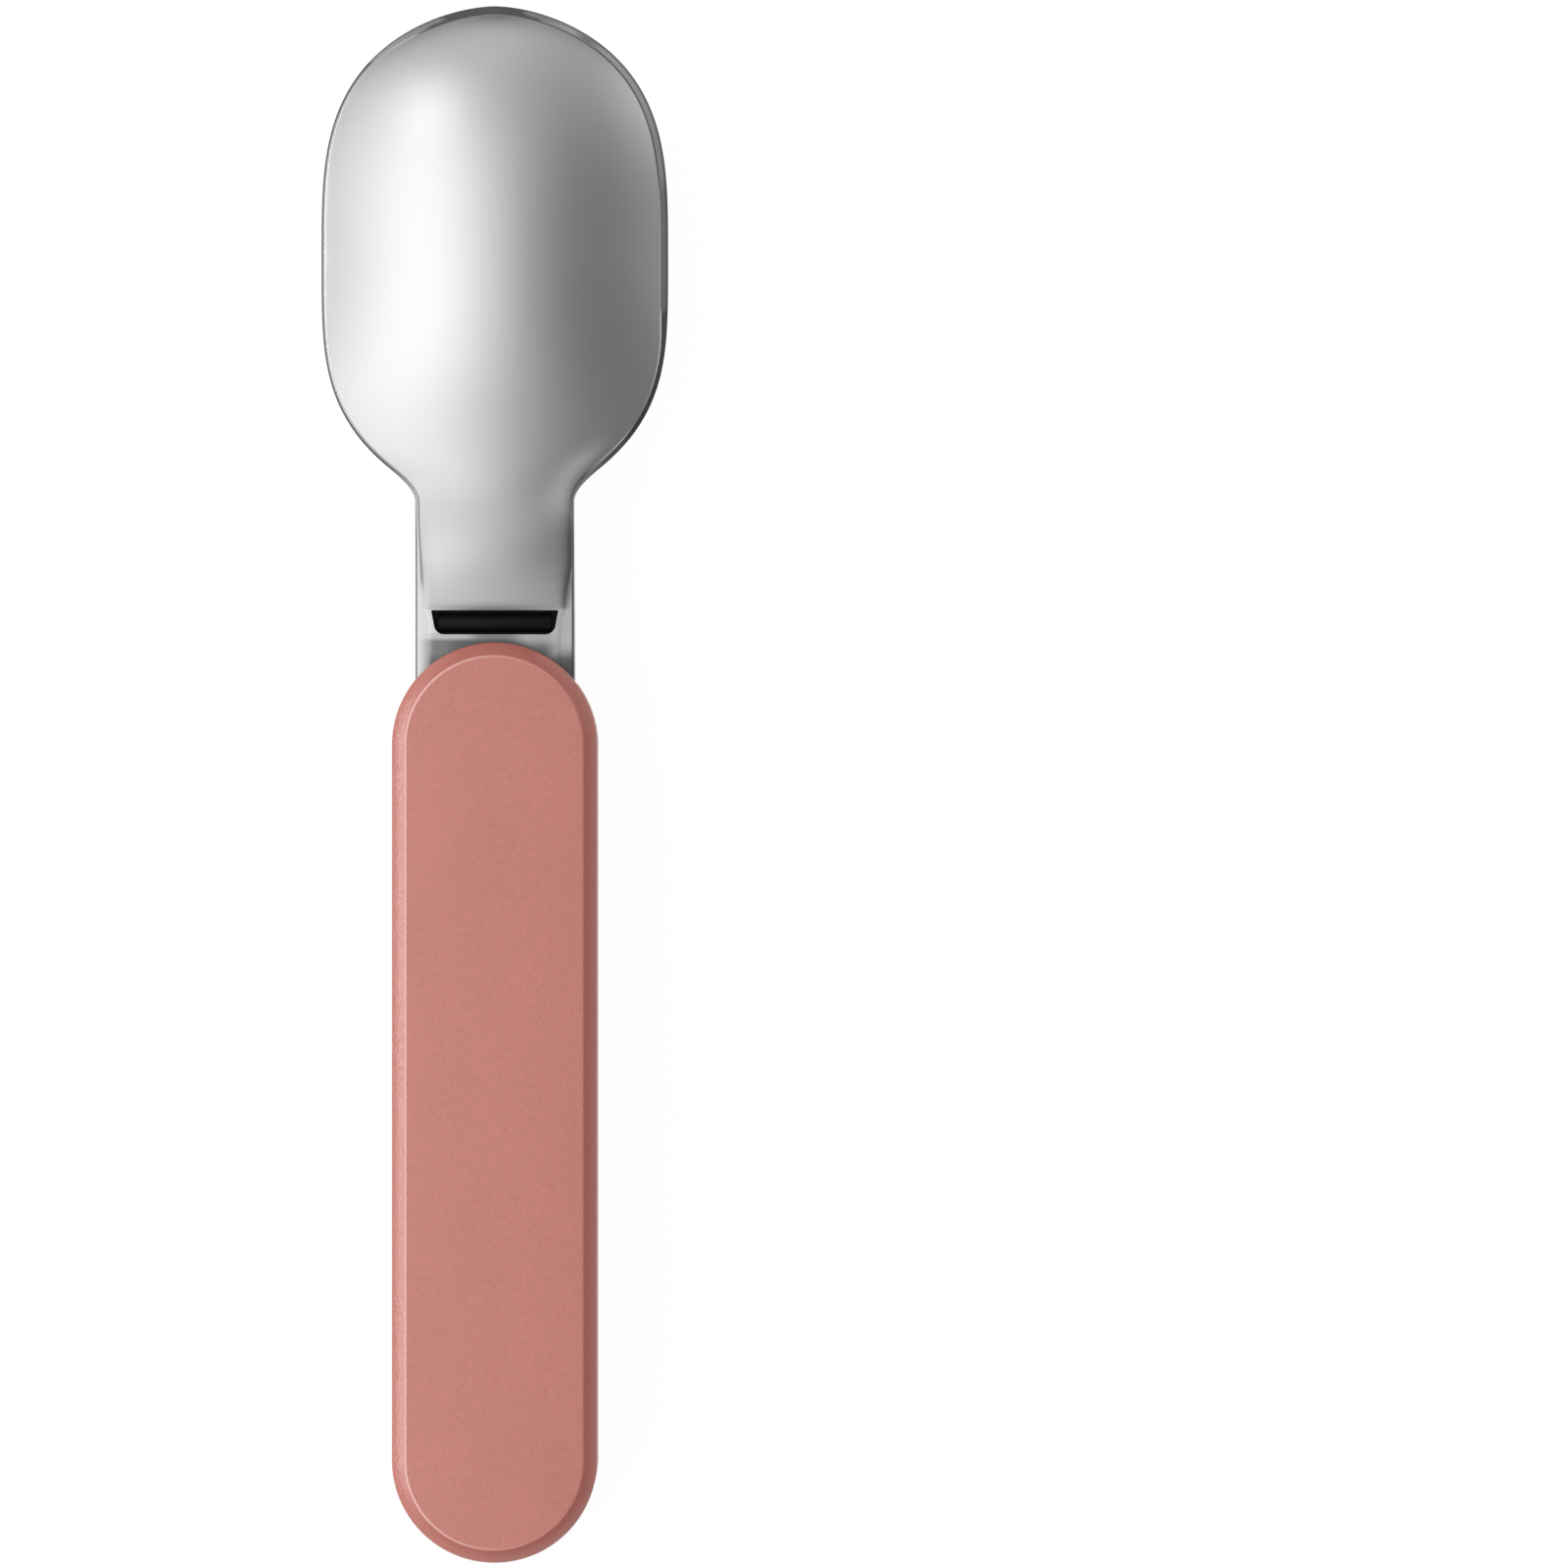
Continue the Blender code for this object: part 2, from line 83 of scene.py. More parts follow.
def to_object(built, name):
    """Turn a bmesh drawn in millimetres into a linked object in metres."""
    bmesh.ops.scale(built, vec=(MILLIMETRE,) * 3, verts=built.verts)
    mesh = bpy.data.meshes.new(name)
    built.to_mesh(mesh)
    built.free()
    piece = bpy.data.objects.new(name, mesh)
    bpy.context.scene.collection.objects.link(piece)
    return piece


def cut(piece, tool):
    """Cut a tool out of a piece, keep the result in its mesh, and merge its slivers."""
    modifier = piece.modifiers.new("cut", "BOOLEAN")
    modifier.object = tool
    modifier.operation = "DIFFERENCE"
    modifier.solver = "EXACT"
    bpy.context.view_layer.update()
    depsgraph = bpy.context.evaluated_depsgraph_get()
    piece.data = bpy.data.meshes.new_from_object(piece.evaluated_get(depsgraph))
    piece.modifiers.clear()
    bpy.data.objects.remove(tool)
    merged = bmesh.new()
    merged.from_mesh(piece.data)
    bmesh.ops.remove_doubles(merged, verts=merged.verts, dist=SLIVER)
    merged.to_mesh(piece.data)
    merged.free()


def finish_piece(piece, look, body, stands_for, sharp_degrees=32):
    """Shade a piece, give it its finish and tie it to the CAD frame."""
    piece.data.materials.clear()
    piece.data.materials.append(look)
    piece.data.shade_smooth()
    piece.data.set_sharp_from_angle(angle=math.radians(sharp_degrees))
    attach(piece, body)
    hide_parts(stands_for)
    size = [round(value / MILLIMETRE, 2) for value in piece.dimensions]
    triangles = sum(len(face.vertices) - 2 for face in piece.data.polygons)
    print(piece.name, "mm", size, "triangles", triangles)


# %% [markdown]
# ## The camera
# The photograph looks straight down on the flat spoon from far away. A long lens at
# 1.2 m gives that flat look, and the lens length follows from the 155 mm that the
# square picture covers. The spoon stands in the left half of the picture, so the
# camera stands to its right.

# %% Camera
PICTURE_WIDTH = 0.1552
CAMERA_HEIGHT = 1.2
PICTURE_CENTRE = (0.02862, 0.0)
RIM_HEIGHT = 0.0065
SENSOR_WIDTH = 36

camera_data = bpy.data.cameras.new("camera")
camera_data.sensor_width = SENSOR_WIDTH
camera_data.lens = SENSOR_WIDTH * (CAMERA_HEIGHT - RIM_HEIGHT) / PICTURE_WIDTH
camera_data.clip_start = 0.05
camera_data.clip_end = 20
camera = bpy.data.objects.new("camera", camera_data)
camera.location = (*PICTURE_CENTRE, CAMERA_HEIGHT)
bpy.context.scene.collection.objects.link(camera)
bpy.context.scene.camera = camera
print("lens", round(camera_data.lens, 1))

# %% [markdown]
# ## Helpers for materials
# Every finish is a small node tree on Object coordinates, so its grain stays on the
# piece. A value that is the same all over a surface is set on the shader's socket.
# Where a surface carries painted shade or a painted highlight, the geometry carries a
# mark: an attribute from 0 to 1 on its points, which blends one finish into the other.

# %% Node helpers


def new_material(name, colour, roughness, metallic=0.0):
    """A material whose constants sit on its shader, and its node tree."""
    look = bpy.data.materials.new(name)
    look.use_nodes = True
    tree = look.node_tree
    shader = tree.nodes["Principled BSDF"]
    shader.inputs["Base Color"].default_value = (*colour, 1)
    shader.inputs["Roughness"].default_value = roughness
    shader.inputs["Metallic"].default_value = metallic
    print("finish", name)
    return look, tree, shader


def add_node(tree, kind, settings=None, **inputs):
    """Add a node, set its properties, and link or set its inputs by name, or as _number."""
    node = tree.nodes.new(kind)
    for key, value in (settings or {}).items():
        setattr(node, key, value)
    for key, value in inputs.items():
        socket = node.inputs[int(key[1:])] if key[0] == "_" else node.inputs[key]
        if isinstance(value, bpy.types.NodeSocket):
            tree.links.new(value, socket)
        else:
            socket.default_value = value
    return node


def calculate(tree, operation, *values):
    """One math node on sockets or numbers."""
    inputs = {f"_{index}": value for index, value in enumerate(values)}
    return add_node(tree, "ShaderNodeMath", {"operation": operation}, **inputs).outputs[0]


def object_coordinates(tree, stretch=(1, 1, 1)):
    """Object coordinates in metres, stretched per axis."""
    place = add_node(tree, "ShaderNodeTexCoord")
    return add_node(tree, "ShaderNodeMapping", Vector=place.outputs["Object"],
                    Scale=stretch).outputs["Vector"]


def noise(tree, vector, scale, detail=2.0):
    """Noise whose cells are about 1 / scale metres wide."""
    return add_node(tree, "ShaderNodeTexNoise", Vector=vector, Scale=scale,
                    Detail=detail).outputs["Fac"]


def spread(tree, value, low, high):
    """Map the middle of a noise, 0.3 to 0.7, onto a range of roughness or tone."""
    return add_node(tree, "ShaderNodeMapRange", _0=value, _1=0.3, _2=0.7, _3=low,
                    _4=high).outputs["Result"]


def mix_colours(tree, share, first, second):
    """The first colour where the share is 0, and the second where it is 1."""
    return add_node(tree, "ShaderNodeMix", {"data_type": "RGBA"}, _0=share, _6=first,
                    _7=second).outputs[2]


def where_marked(tree, mark_name, colour, rough, marked_colour, marked_roughness):
    """Blend a colour and a roughness into others where the geometry carries a mark."""
    mark = add_node(tree, "ShaderNodeAttribute", {"attribute_name": mark_name}).outputs["Fac"]
    colour = mix_colours(tree, mark, colour, (*marked_colour, 1))
    rough = add_node(tree, "ShaderNodeMix", _0=mark, _2=rough, _3=marked_roughness).outputs[0]
    return colour, rough


# %% [markdown]
# ## Polished steel
# The head is polished, so its look comes from what it mirrors. A mirror without any
# fault would look like chrome paint. Two things prevent that: a faint unevenness of the
# polish, and marks on the sheared rim, the creases and the neck. The marks are rougher,
# as steel that the polishing wheel misses, and darker, which is painted shade and painted
# dark reflection. The pin is ground and the spring is rolled, so both are duller all
# over and need no marks.

# %% Steel finishes
STEEL_GREY = (0.52, 0.52, 0.525)
# The marked grey is painted shade and painted dark reflection; the marked roughness is that of
# unpolished steel.
PAINTED_SHADE_GREY, UNPOLISHED_ROUGHNESS = (0.05, 0.05, 0.052), 0.4
CLOUD_SCALE, HAIRLINE_SCALE = 160, 9000


def steel_material(name, grey, roughness, marked):
    """Polished metal with uneven polish, fine hairlines, and marks that are rougher and painted
    darker as shade.
    """
    look, tree, shader = new_material(name, grey, roughness, 1.0)
    clouds = noise(tree, object_coordinates(tree), CLOUD_SCALE, 3)
    hairlines = noise(tree, object_coordinates(tree, (1, 0.06, 1)), HAIRLINE_SCALE, 1)
    uneven = spread(tree, clouds, roughness * 0.85, roughness * 1.2)
    # Marked places are rougher, and their darker grey is painted shade and painted dark
    # reflection.
    if marked:
        colour, uneven = where_marked(tree, "rough_and_painted_shade", (*grey, 1), uneven,
                                      PAINTED_SHADE_GREY, UNPOLISHED_ROUGHNESS)
        tree.links.new(colour, shader.inputs["Base Color"])
    tree.links.new(uneven, shader.inputs["Roughness"])
    bump = add_node(tree, "ShaderNodeBump", Strength=0.02, Distance=0.00002, Height=hairlines)
    tree.links.new(bump.outputs["Normal"], shader.inputs["Normal"])
    return look


polished_steel = steel_material("polished_steel", STEEL_GREY, 0.13, True)
pin_steel = steel_material("pin_steel", (0.43, 0.43, 0.44), 0.25, False)
spring_steel = steel_material("spring_steel", (0.3, 0.31, 0.34), 0.32, False)

# %% [markdown]
# ## Rose plastic
# The handle is moulded in an eroded tool: an even rose colour under a fine matte grain.
# The grain is a bump of about 0.2 mm. A weak change of tone over the grain, and a
# fainter one in patches of a few millimetres, keep the colour alive under flat light.
# The chamfer is smoother than the face and is painted a deeper rose as shade, and its
# upper edge carries a pale painted highlight. A picture could hold all this, but marks on
# the mesh follow the shape exactly and need no unwrapping.

# %% Plastic finishes
ROSE = (0.515, 0.17, 0.134)
# The chamfer's deeper rose is painted shade.
SHADED_CHAMFER_ROSE, CHAMFER_ROUGHNESS = (0.425, 0.12, 0.092), 0.18
# The ridge's pale rose is a painted highlight.
PAINTED_HIGHLIGHT_ROSE, RIDGE_ROUGHNESS = (0.68, 0.36, 0.32), 0.16
ROSE_MARKS = (("chamfer", SHADED_CHAMFER_ROSE, CHAMFER_ROUGHNESS), ("painted_highlight", PAINTED_HIGHLIGHT_ROSE, RIDGE_ROUGHNESS))
BLACK = (0.007, 0.007, 0.0075)
GRAIN_SCALE, TONE_SCALE, PATCH_SCALE, PATCH_SHARE = 4200, 1500, 130, 0.1


def plastic_material(name, colour, roughness, gloss, grain_height, tone, marks=()):
    """Moulded plastic with a fine grain, and other finishes where it carries marks."""
    look, tree, shader = new_material(name, colour, roughness)
    shader.inputs["Specular IOR Level"].default_value = gloss
    coordinates = object_coordinates(tree)
    grain = noise(tree, coordinates, GRAIN_SCALE, 3)
    tones = noise(tree, coordinates, TONE_SCALE, 3)
    patches = noise(tree, object_coordinates(tree, (1, 0.5, 1)), PATCH_SCALE, 2)
    fine = calculate(tree, "MULTIPLY_ADD", tones, 0.5, spread(tree, grain, 0, 0.5))
    share = calculate(tree, "ADD", fine, spread(tree, patches, -PATCH_SHARE, PATCH_SHARE))
    darker = [channel * (1 - tone) for channel in colour]
    lighter = [channel * (1 + tone) for channel in colour]
    tinted = mix_colours(tree, share, (*darker, 1), (*lighter, 1))
    rough = spread(tree, grain, roughness * 0.9, roughness * 1.15)
    for mark_name, marked_colour, marked_roughness in marks:
        tinted, rough = where_marked(tree, mark_name, tinted, rough, marked_colour,
                                     marked_roughness)
    tree.links.new(tinted, shader.inputs["Base Color"])
    tree.links.new(rough, shader.inputs["Roughness"])
    bump = add_node(tree, "ShaderNodeBump", Strength=1.0, Distance=grain_height, Height=grain)
    tree.links.new(bump.outputs["Normal"], shader.inputs["Normal"])
    return look


rose_plastic = plastic_material("rose_plastic", ROSE, 0.36, 0.8, 0.00002, 0.16, ROSE_MARKS)
black_plastic = plastic_material("black_plastic", BLACK, 0.3, 0.08, 0.000004, 0.2)

# %% [markdown]
# ## The spoon head
# The real head is one pressed sheet: a bowl, a neck with a raised panel and a window,
# and two ears that are the neck's edges bent down and drilled for the pin. It could be
# modelled from a subdivided cage, but the CAD gives exact rules for its outline and
# depth. So one grid is laid along the outline from the left ear round the tip to the
# right ear, a second one lies under it, and the operator bridge_loops closes the rim.

# %% Sizes of the head, in millimetres
PIN_Y, PIN_Z, EAR_RADIUS = 3.85, 2.9, 2.5
SHEET, LAND = 1.0, 0.8
RIM_Z, BOWL_HEIGHT = 6.1, 7.6
BOWL_HALF, NECK_HALF = 17.15, 7.85
TIP_Y, WIDEST_Y, BOWL_START_Y, RISE_START_Y = 77.0, 52.1, 28.0, 18.0
TIP_LENGTH, NECK_END_LENGTH, OUTLINE_RUN_ON = TIP_Y - WIDEST_Y, WIDEST_Y - BOWL_START_Y, 2.6
TIP_LENGTH_POWER, TIP_WIDTH_POWER, NECK_END_POWER = 3.39, 1.73, 3.79
TIP_FULLNESS, CORNER_BLEND = 3.2, 2.5
DEEPEST_Y = BOWL_START_Y + (TIP_Y - BOWL_START_Y - LAND) / 2
WEB_START_Y, EAR_STRAIGHT_Y, EAR_END_Y = 4.65, 11.85, 27.05
EAR_TOP_Y, EAR_TOP_Z, EAR_SHOULDER_Z, EAR_RAMP = 1.69, 4.15, 6.2, 2.56
NECK_CROWN = 0.25
WINDOW_LOW_Y, WINDOW_HIGH_Y = 14.8, 17.2
print("bowl", 2 * BOWL_HALF, "by", TIP_Y - BOWL_START_Y, "mm, deepest at y", round(DEEPEST_Y, 2))

# %% [markdown]
# ### Soft steps and the outline
# Sheet metal has no sudden changes, so every rule below is built from one soft step.
# The outline comes first. Its rows stand close together where the shape turns quickly:
# round the ears, across the window and towards the tip.

# %% Soft steps and the rows of the outline
EAR_ROWS = (1.35, 1.5, 1.69, 2.1, 2.6, 3.2, 3.85, 4.25, 4.6)
NECK_END_STEPS, TIP_STEPS = 44, 60


def ease(share):
    """A soft step from 0 to 1 as the share goes from 0 to 1."""
    share = min(max(share, 0), 1)
    return share * share * (3 - 2 * share)


def rising(place, start, length):
    """A soft step from 0 to 1 that begins at start and takes length millimetres."""
    return ease((place - start) / length)


def falling(place, start, length):
    """The same step, from 1 down to 0."""
    return 1 - rising(place, start, length)


def blend(first, second, share):
    """The value at a share of the way from the first to the second."""
    return first + (second - first) * share


def outline_rows():
    """Outline of the right half as (y, half width), from the ear's end to the tip."""
    rows = [(y, NECK_HALF) for y in EAR_ROWS]
    rows += [(WEB_START_Y + 0.7 * step, NECK_HALF) for step in range(13)]
    rows += [(13.6 + 0.1 * step, NECK_HALF) for step in range(50)]
    rows += [(18.7 + 0.35 * step, NECK_HALF) for step in range(25)]
    for step in range(NECK_END_STEPS):
        y = BOWL_START_Y + NECK_END_LENGTH * (step / NECK_END_STEPS) ** 1.35
        draw_in = ((WIDEST_Y - y) / (NECK_END_LENGTH + OUTLINE_RUN_ON)) ** NECK_END_POWER
        width = BOWL_HALF * (1 - draw_in)
        near = max(CORNER_BLEND - abs(width - NECK_HALF), 0) / CORNER_BLEND
        rows.append((y, max(width, NECK_HALF) + near * near * CORNER_BLEND / 4))
    for step in range(TIP_STEPS + 1):
        turn = math.radians(90 * step / TIP_STEPS)
        reach = TIP_LENGTH * math.sin(turn) ** (2 / TIP_LENGTH_POWER)
        rows.append((WIDEST_Y + reach,
                     BOWL_HALF * max(math.cos(turn), 0) ** (2 / TIP_WIDTH_POWER)))
    rows.sort()
    return rows


ROWS = outline_rows()
print("rows along the head:", len(ROWS))

# %% [markdown]
# ### Heights of the sheet
# The outer face is a parabola across and follows the CAD's crown along. On it sits the
# neck's raised panel, which is crowned across and rolls down to the window. Where the
# neck runs into the bowl the edges lift a little, so the neck stays nearly flat across,
# and the right corner turns up a little more. These could be sculpted, but a rule in
# millimetres is easy to read and to correct against a measurement.

# %% Height rules of the outer face
PANEL_STEP, PANEL_CROWN, PANEL_HALF, PANEL_SHOULDER = 0.15, 0.3, 7.0, 0.6
PANEL_LOW_Y, PANEL_ROLL, PANEL_ROLL_DEPTH = 17.2, 1.1, 0.8
EDGE_LIFT, CROWN_LIFT, LIP_HEIGHT = 0.75, 0.45, 0.3
SWELL_RISE, SWELL_WIDTH, SWELL_INSET = 0.38, 1.9, 1.2


def crown(y, sheet):
    """Height of the middle line over the rim plane, for the outer face or under the sheet."""
    full, neck = BOWL_HEIGHT - sheet, SHEET - sheet
    if y < DEEPEST_Y:
        return blend(neck, full, rising(y, RISE_START_Y, DEEPEST_Y - RISE_START_Y))
    return full * (1 - min((y - DEEPEST_Y) / (TIP_Y - DEEPEST_Y), 1) ** TIP_FULLNESS)


def half_width(y):
    """Half width of the outline at a height along the spoon, read between its rows."""
    for (y0, w0), (y1, w1) in zip(ROWS, ROWS[1:]):
        if y0 <= y <= y1:
            return blend(w0, w1, (y - y0) / max(y1 - y0, 1e-9))
    return ROWS[0][1] if y < ROWS[0][0] else 0.0


def edge_lift(y):
    """How far the sheet's edges rise where the neck runs into the bowl."""
    return EDGE_LIFT * rising(y, 22, 6.5) * falling(y, 30, 14)


def crown_lift(y):
    """How much earlier the pressed crown rises than the CAD's, on the middle line."""
    return CROWN_LIFT * rising(y, 17.5, 6) * falling(y, 38, 14)


def corner_swell(x, y):
    """How far the sheet turns up along the right neck corner, where it catches light."""
    if x <= 0:
        return 0
    along = rising(y, 25, 4) * falling(y, 32, 3.5)
    inside = half_width(y) - x - SWELL_INSET * rising(y, 28, 4)
    return SWELL_RISE * along * math.exp(-(inside / SWELL_WIDTH) ** 2)


def edge_base(y):
    """Height of the outer face at the outline, before the edge is rounded off."""
    neck = RIM_Z - NECK_CROWN * falling(y, EAR_END_Y - 4, 4) + SHEET
    return blend(neck, RIM_Z + LIP_HEIGHT, rising(y, BOWL_START_Y - 4, 12)) + edge_lift(y)


def outer_height(x, y, shoulder):
    """Height of the outer face; shoulder is the distance inside the crease."""
    half = max(half_width(y), 1e-6)
    base = edge_base(y)
    across = min(abs(x) / half, 1)
    height = base + (RIM_Z + crown(y, 0) + crown_lift(y) - base) * (1 - across * across)
    roll = min(max((PANEL_LOW_Y + PANEL_ROLL - y) / PANEL_ROLL, 0), 1)
    share = min(max(shoulder / PANEL_SHOULDER, 0), 1)
    step = PANEL_STEP * (1 - (1 - share) ** 2)
    swell = PANEL_CROWN * (1 - min(abs(x) / PANEL_HALF, 1) ** 2)
    panel = (step + swell) * falling(y, 20, 11) * (1 - PANEL_ROLL_DEPTH * roll ** 2)
    return height + panel + corner_swell(x, y)


# %% [markdown]
# ### The inner face and the ears
# The inner face lies under the outer one by the sheet's thickness and has no panel. The
# ears' ends are round about the pin, and their lower edge runs up to the rim plane
# before the bowl begins.

# %% Height rules of the inner face and the ears


def inner_height(x, y):
    """Height of the face under the sheet."""
    half = max(half_width(y) - LAND, 1e-6) if y > BOWL_START_Y else NECK_HALF
    base = RIM_Z - NECK_CROWN * falling(y, EAR_END_Y - 4, 4) + edge_lift(y)
    across = min(abs(x) / half, 1)
    height = base + (RIM_Z + crown(y, SHEET) + crown_lift(y) - base) * (1 - across * across)
    return height + corner_swell(x, y)


def ear_end_half(y):
    """Half height of the ear's round end."""
    return math.sqrt(max(EAR_RADIUS ** 2 - (y - PIN_Y) ** 2, 0))


def ear_bottom(y):
    """Height of the lower edge of an ear, and of the rim after it."""
    if y < PIN_Y:
        return PIN_Z - ear_end_half(y)
    low = PIN_Z - EAR_RADIUS
    rise = rising(y, EAR_STRAIGHT_Y, EAR_END_Y - EAR_STRAIGHT_Y)
    return min(low + (RIM_Z + SHEET / 8 - low) * rise, RIM_Z) + edge_lift(y) * rise


def ear_top(y):
    """Height of the upper edge of an ear, behind the start of the web."""
    if y < EAR_TOP_Y:
        return PIN_Z + ear_end_half(y)
    return blend(EAR_TOP_Z, EAR_SHOULDER_Z, min((y - EAR_TOP_Y) / EAR_RAMP, 1))


print("sheet on the middle line:", [round(outer_height(0, y, 1), 2) for y in (16, 28, 52)])

# %% [markdown]
# ### The two grids
# Each row of a grid crosses the head from the left edge to the right one. Its first
# points climb the side wall, the next ones follow the rounded edge and cross the band
# and the panel's shoulder, and the rest run to the middle line. On the real spoon the
# band is the sheared and tumbled edge, which is broad on the right and only a hairline
# on the left. A bevel would make it even all round, so its width follows a rule.

# %% Edge of a row
EDGE_ROUND = 0.12
RAIL_WIDTH, RAIL_ROUND, RAIL_SLOPE = 1.25, 0.26, 0.02
CREASE_STEP, CREASE_WIDTH = 0.1, 0.07
LEFT_BAND, RIGHT_BAND, TIP_BAND = 0.34, 0.8, 0.85
ROUND_ANGLES = (22, 45, 68, 90)
CHAMFER_SHARES = (0.06, 0.4, 0.8, 1.0)


def edge_band(y, side):
    """Width of the edge band: rails at the hinge, a hairline left, a broad chamfer right."""
    neck = blend(RAIL_WIDTH, 0.8, rising(y, 16, 1.5))
    if side < 0:
        neck = blend(neck, 0.42, rising(y, 18, 8))
        bowl = LEFT_BAND
    else:
        neck = blend(neck, 0.27, rising(y, 17.5, 5))
        bowl = blend(0.56, RIGHT_BAND, rising(y, 42, 6))
    tip = blend(bowl, TIP_BAND, rising(y, 70, 6))
    return blend(neck, tip, rising(y, 27, 4))


def band_slope(y, side):
    """Steepness of the band round the bowl: lying back at the upper right."""
    lean = rising(y, 55, 8) * falling(y, 70, 6) if side > 0 else 0
    return blend(0.85 if side < 0 else 1.0, 0.62, lean)


def edge_profile(y, side, crease_z):
    """Distance from the outline and height, from the top of the side wall to the crease."""
    bowl = rising(y, BOWL_START_Y - 2, 5)
    band = edge_band(y, side)
    radius = min(RAIL_ROUND, band / 2)
    rail_z = crease_z - RAIL_SLOPE * (band - radius) - radius
    width = band - CREASE_WIDTH
    low = RIM_Z + edge_lift(y) + 0.18
    step = min(CREASE_STEP, max(crease_z - low, 0.02) / 3)
    drop = min(width * band_slope(y, side), max(crease_z - step - low, 0.01))
    chamfer_z = crease_z - step - drop
    points = [(0, blend(rail_z, chamfer_z, bowl))]
    for angle, share in zip(ROUND_ANGLES, CHAMFER_SHARES):
        turn = math.radians(angle)
        points.append((blend(radius * (1 - math.cos(turn)), width * share, bowl),
                       blend(rail_z + radius * math.sin(turn), chamfer_z + drop * share, bowl)))
    return points + [(band, crease_z)]


for side_name, side in (("left", -1), ("right", 1)):
    print(side_name, "band at 10, 25, 50 and 75 mm:",
          [round(edge_band(y, side), 2) for y in (10, 25, 50, 75)])

# %% [markdown]
# ### Points of a row
# Both faces of the sheet have the same number of points in a row, so their borders can
# be bridged point by point. Towards the tip the rows bend into a V, so the last one
# folds onto itself and is merged. Straight rows would crowd together there.

# %% Points of a row
SHOULDERS = (0.06, 0.14, 0.25, 0.36, 0.5, 0.75, 1.1)
INNER_ROUND, INNER_ANGLES = 0.35, (18, 36, 54, 72, 90)
WALL_POINTS, EDGE_POINTS, SPINE_COLUMNS = 5, len(ROUND_ANGLES) + 2, 16
COLUMNS = WALL_POINTS + EDGE_POINTS + len(SHOULDERS) + SPINE_COLUMNS
V_FOLD = 0.62


def outline_frame(row, side):
    """Outline point and inward direction in the plan, on the left (-1) or right (1)."""
    before, after = ROWS[max(row - 1, 0)], ROWS[min(row + 1, len(ROWS) - 1)]
    y, half = ROWS[row]
    along = Vector((side * (after[1] - before[1]), after[0] - before[0]))
    if row == len(ROWS) - 1:
        along = Vector((-side, 0))
    along.normalize()
    inward = Vector((-side * along.y, side * along.x))
    return Vector((side * half, y)), inward


def wall_points(distance, foot_side, bottom, top):
    """Points up a side wall; its foot is rounded inwards (1) or outwards (-1)."""
    size = min(EDGE_ROUND, (top - bottom) / 3)
    return [(distance + foot_side * size, bottom),
            (distance + foot_side * size * 0.3, bottom + size * 0.3),
            (distance, bottom + size), (distance, bottom + size * 1.3),
            (distance, top - size * 0.3)]


def run_to_spine(placed, y, height_at):
    """Carry a row on from its last point to the middle line."""
    start = placed[-1][0]
    spine = Vector((0, y if y < DEEPEST_Y else blend(DEEPEST_Y, y, V_FOLD)))
    for column in range(1, SPINE_COLUMNS + 1):
        spot = start.lerp(spine, column / SPINE_COLUMNS)
        placed.append((spot, height_at(spot.x, spot.y)))
    return [(spot.x, spot.y, height) for spot, height in placed]


def outer_row(row, side):
    """Points from the bottom of the edge to the middle line on the outer face."""
    point, inward = outline_frame(row, side)
    y = point.y
    band = edge_band(y, side)
    crease = point + inward * band
    profile = edge_profile(y, side, outer_height(crease.x, crease.y, 0))
    if y < WEB_START_Y:
        profile = [(distance, min(height, ear_top(y))) for distance, height in profile]
    points = wall_points(0, 1, ear_bottom(y), profile[0][1]) + profile
    placed = [(point + inward * distance, height) for distance, height in points]
    for distance in SHOULDERS:
        spot = point + inward * (band + distance)
        placed.append((spot, outer_height(spot.x, spot.y, distance)))
    return run_to_spine(placed, y, lambda x, y: outer_height(x, y, PANEL_SHOULDER))


def inner_row(row, side):
    """Points from the bottom of the edge to the middle line on the inner face."""
    point, inward = outline_frame(row, side)
    y = point.y
    wall = blend(SHEET, LAND, rising(y, BOWL_START_Y - 3, 8))
    bottom = ear_bottom(y)
    foot = point + inward * (wall + INNER_ROUND)
    foot_z = inner_height(foot.x, foot.y)
    top = ear_top(y) if y < WEB_START_Y else max(foot_z - INNER_ROUND, bottom + EDGE_ROUND)
    points = wall_points(wall, -1, bottom, top) + [(wall, top)]
    for angle in INNER_ANGLES:
        turn = math.radians(angle)
        points.append((wall + INNER_ROUND * (1 - math.cos(turn)),
                       blend(top, max(foot_z, top), math.sin(turn))))
    placed = [(point + inward * distance, height) for distance, height in points]
    for distance in SHOULDERS:
        spot = point + inward * (wall + INNER_ROUND + distance)
        placed.append((spot, inner_height(spot.x, spot.y)))
    return run_to_spine(placed, y, inner_height)


print("points in a row:", 2 * COLUMNS - 1)

# %% [markdown]
# ### From grids to a closed sheet
# create_grid makes each face of the sheet as a flat net of the right size, and its
# points are moved to their places. The web doesn't reach back to the ears' round ends,
# so its squares are deleted there in both nets before the borders are bridged. Solidify
# would give the thickness too, but not an inner face with rules of its own.

# %% Build the sheet
WELD_DISTANCE = 0.0005


def lay_grid(built, row_points):
    """Lay one net of the sheet and return its points row by row."""
    net = bmesh.ops.create_grid(built, x_segments=2 * COLUMNS - 2, y_segments=len(ROWS) - 1,
                                size=1)
    corners = sorted(net["verts"], key=lambda v: (round(v.co.y, 6), round(v.co.x, 6)))
    width = 2 * COLUMNS - 1
    lines = [corners[row * width:(row + 1) * width] for row in range(len(ROWS))]
    for row, line in enumerate(lines):
        left, right = row_points(row, -1), row_points(row, 1)
        for vertex, place in zip(line, left + right[-2::-1]):
            vertex.co = place
    return lines


